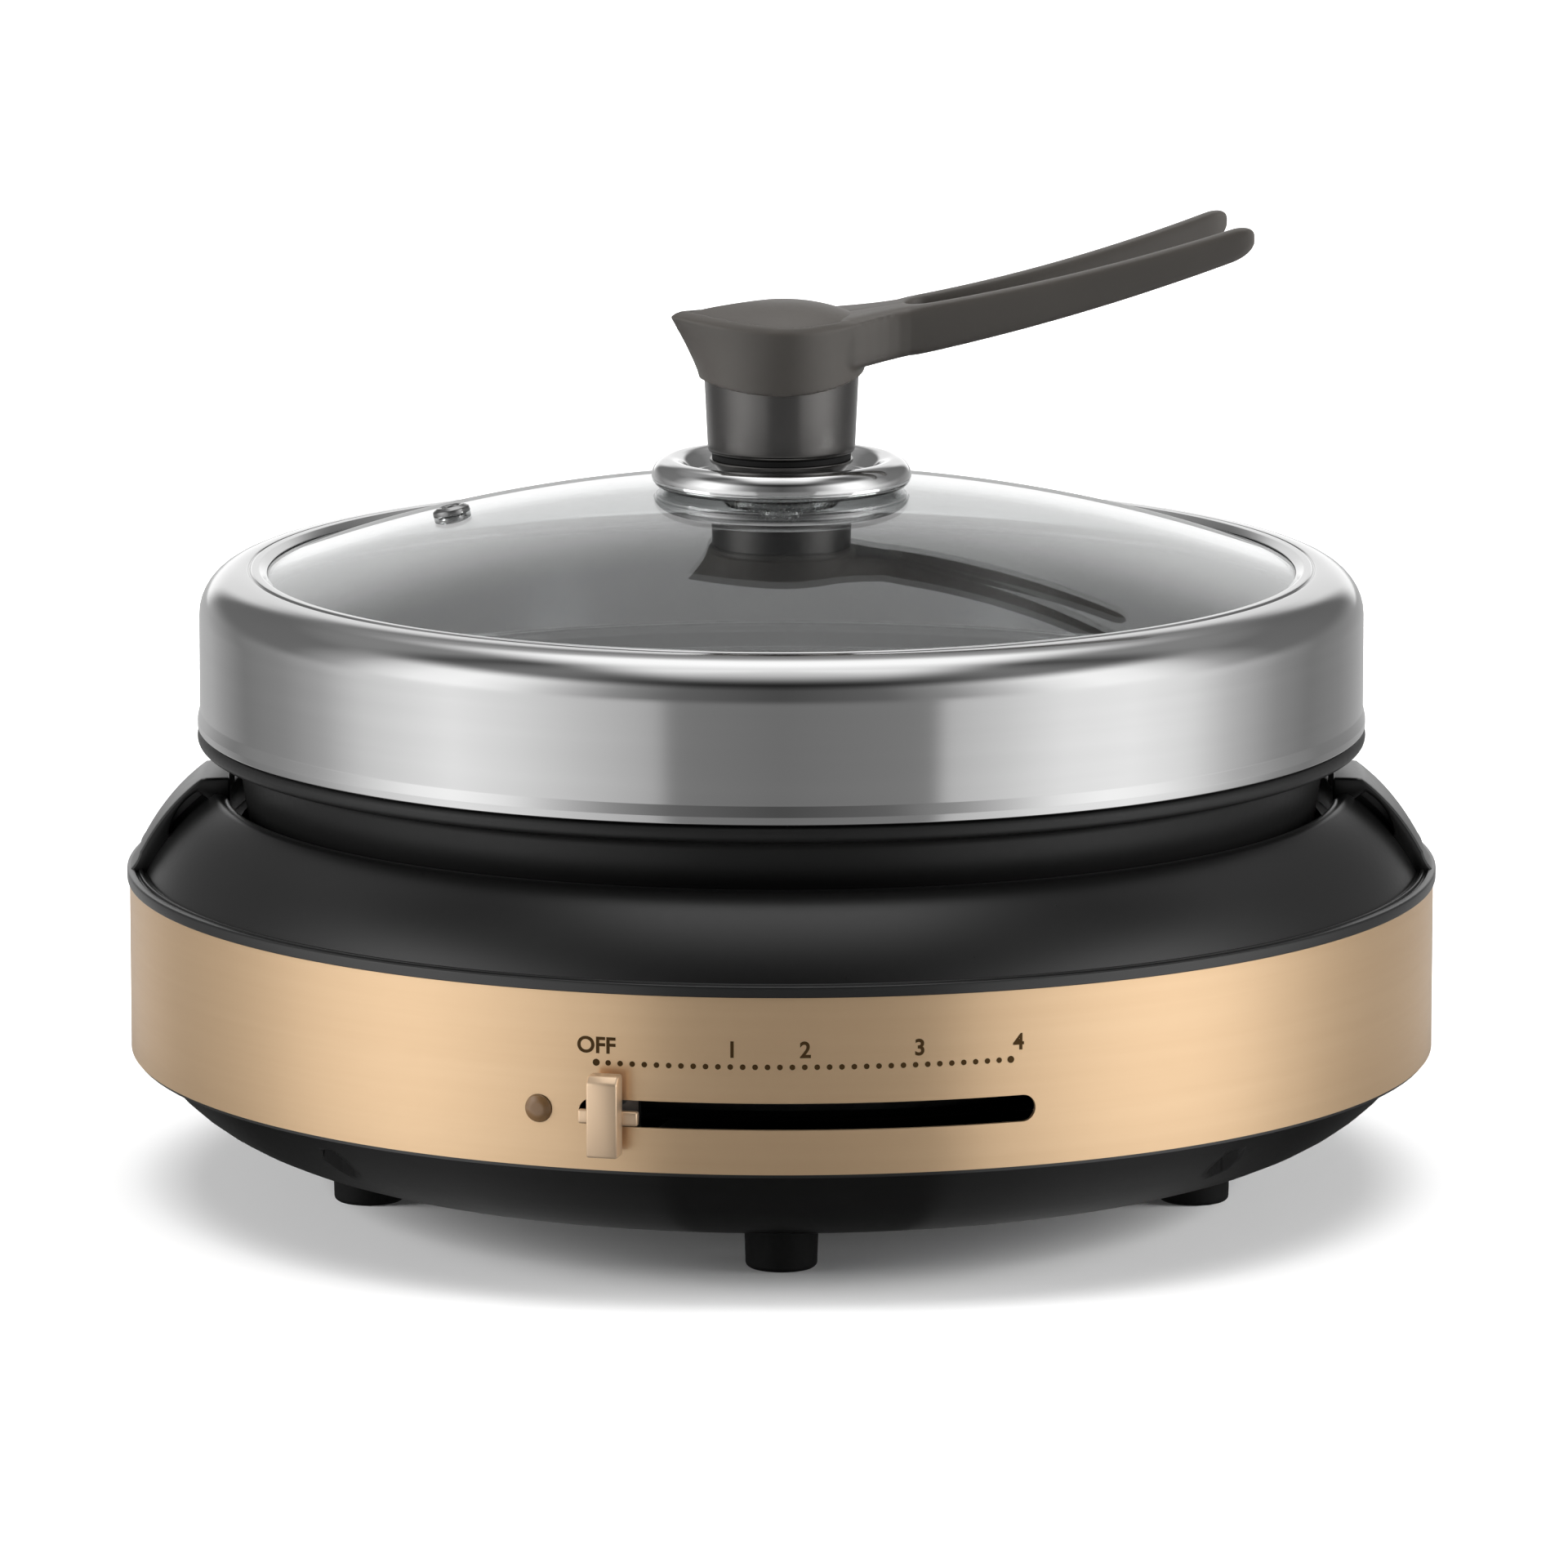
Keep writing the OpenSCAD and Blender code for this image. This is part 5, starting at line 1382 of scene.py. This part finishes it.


# White paper with painted light: its glow for the camera is low near the part and grows with the distance, a
# painted shade round the part; to reflections it shows a painted reflection of the compass levels, darker
# near the part, a painted shadow
def buildFloor(form):
    bm = bmesh.new()
    bmesh.ops.create_grid(bm, x_segments=1, y_segments=1, size=form["floorHalf"])
    floor = newObject("floor", meshFrom("floor", bm))
    material = bpy.data.materials.new("floorPaperPaintedLight")
    material.use_nodes = True
    tree = material.node_tree
    surface = tree.nodes["Principled BSDF"]
    surface.inputs["Base Color"].default_value = (*grey(form["paper"]), 1)
    surface.inputs["Roughness"].default_value = 0.9
    surface.inputs["Specular IOR Level"].default_value = 0.0
    surface.inputs["Emission Color"].default_value = (1, 1, 1, 1)
    path = tree.nodes.new("ShaderNodeLightPath")
    coords = tree.nodes.new("ShaderNodeTexCoord")
    parts = tree.nodes.new("ShaderNodeSeparateXYZ")
    away = tree.nodes.new("ShaderNodeVectorMath")
    away.operation = "LENGTH"
    for node in (parts, away):
        tree.links.new(coords.outputs["Object"], node.inputs[0])
    distance = away.outputs["Value"]
    # The painted reflection's compass is widened near the part
    reach = mathNode(tree, "MAXIMUM", distance, form["standReach"])
    widen = mathNode(tree, "DIVIDE", reach, mathNode(tree, "SUBTRACT", reach, form["standHalf"]))
    level = compassLevels(tree, parts.outputs[0], parts.outputs[1], form["around"], widen)
    # Painted shade: glow for camera rays only, lower near the part
    seen = times(tree, path.outputs["Is Camera Ray"], fadeNode(tree, distance, *form["paperGlowPaintedShade"]))
    tree.links.new(seen, surface.inputs["Emission Strength"])
    # Painted reflection: reflections see an emission of the compass levels instead of the paper, with a
    # painted shadow near the part
    mirrored = tree.nodes.new("ShaderNodeEmission")
    tree.links.new(level, mirrored.inputs["Color"])
    tree.links.new(fadeNode(tree, distance, *form["floorPaintedReflection"]), mirrored.inputs["Strength"])
    shown = pickShader(tree, path.outputs["Is Glossy Ray"], surface.outputs[0], mirrored.outputs[0])
    tree.links.new(shown, tree.nodes["Material Output"].inputs["Surface"])
    floor.data.materials.append(material)


# The world is white to the camera; in reflections it holds side boxes, a strip overhead and darker gaps
def buildWorld(form):
    world = bpy.data.worlds.new("studio")
    world.use_nodes = True
    tree = world.node_tree
    coords = tree.nodes.new("ShaderNodeTexCoord")
    parts = tree.nodes.new("ShaderNodeSeparateXYZ")
    tree.links.new(coords.outputs["Generated"], parts.inputs[0])
    x, y, z = parts.outputs
    wide = mathNode(tree, "ABSOLUTE", x)
    lean = plus(tree, z, times(tree, y, form["stripLean"]))

    def fade(value, name):
        return fadeNode(tree, value, *form[name])

    around, boxes = [compassLevels(tree, x, y, form[name]) for name in ("around", "boxes")]
    change = times(tree, mathNode(tree, "SUBTRACT", boxes, around), fade(z, "boxFoot"))
    low = times(tree, plus(tree, around, change), fade(z, "boxTop"))
    narrow = times(tree, fade(wide, "stripSide"), fade(y, "stripBack"))
    strip = times(tree, times(tree, fade(lean, "stripStart"), narrow), form["overhead"])
    ceiling = times(tree, fade(z, "ceiling"), fade(y, "ceilingBack"))
    back = times(tree, fade(y, "backdropFrom"), fade(wide, "backdropSide"))
    backdrop = times(tree, times(tree, back, fade(z, "backdropTop")), form["backdrop"])
    level = plus(tree, plus(tree, low, plus(tree, strip, ceiling)), backdrop)
    mirrored = tree.nodes["Background"]
    tree.links.new(level, mirrored.inputs["Color"])
    even = tree.nodes.new("ShaderNodeBackground")
    even.inputs["Strength"].default_value = form["ambient"]
    white = tree.nodes.new("ShaderNodeBackground")
    for shader in (even, white):
        shader.inputs["Color"].default_value = (1, 1, 1, 1)
    path = tree.nodes.new("ShaderNodeLightPath")
    seen = mathNode(tree, "MAXIMUM", path.outputs["Is Camera Ray"], path.outputs["Is Transmission Ray"])
    shown = pickShader(tree, path.outputs["Is Glossy Ray"], even.outputs[0], mirrored.outputs[0])
    shown = pickShader(tree, seen, shown, white.outputs[0])
    tree.links.new(shown, tree.nodes["World Output"].inputs["Surface"])
    bpy.context.scene.world = world


buildFloor(studioForm)
buildWorld(studioForm)
for light in studioForm["lights"]:
    addLight(*light)

# Camera of the photo
cameraForm = {"lens": 253.4, "place": (0.0007, -3.0, 0.6548), "tilt": 10.307}
camera = newObject("camera", bpy.data.cameras.new("camera"))
camera.data.lens = cameraForm["lens"]
camera.location = cameraForm["place"]
camera.rotation_euler = (math.radians(90 - cameraForm["tilt"]), 0, 0)
bpy.context.scene.camera = camera
bpy.context.scene.view_settings.view_transform = "Standard"
print("studio built")
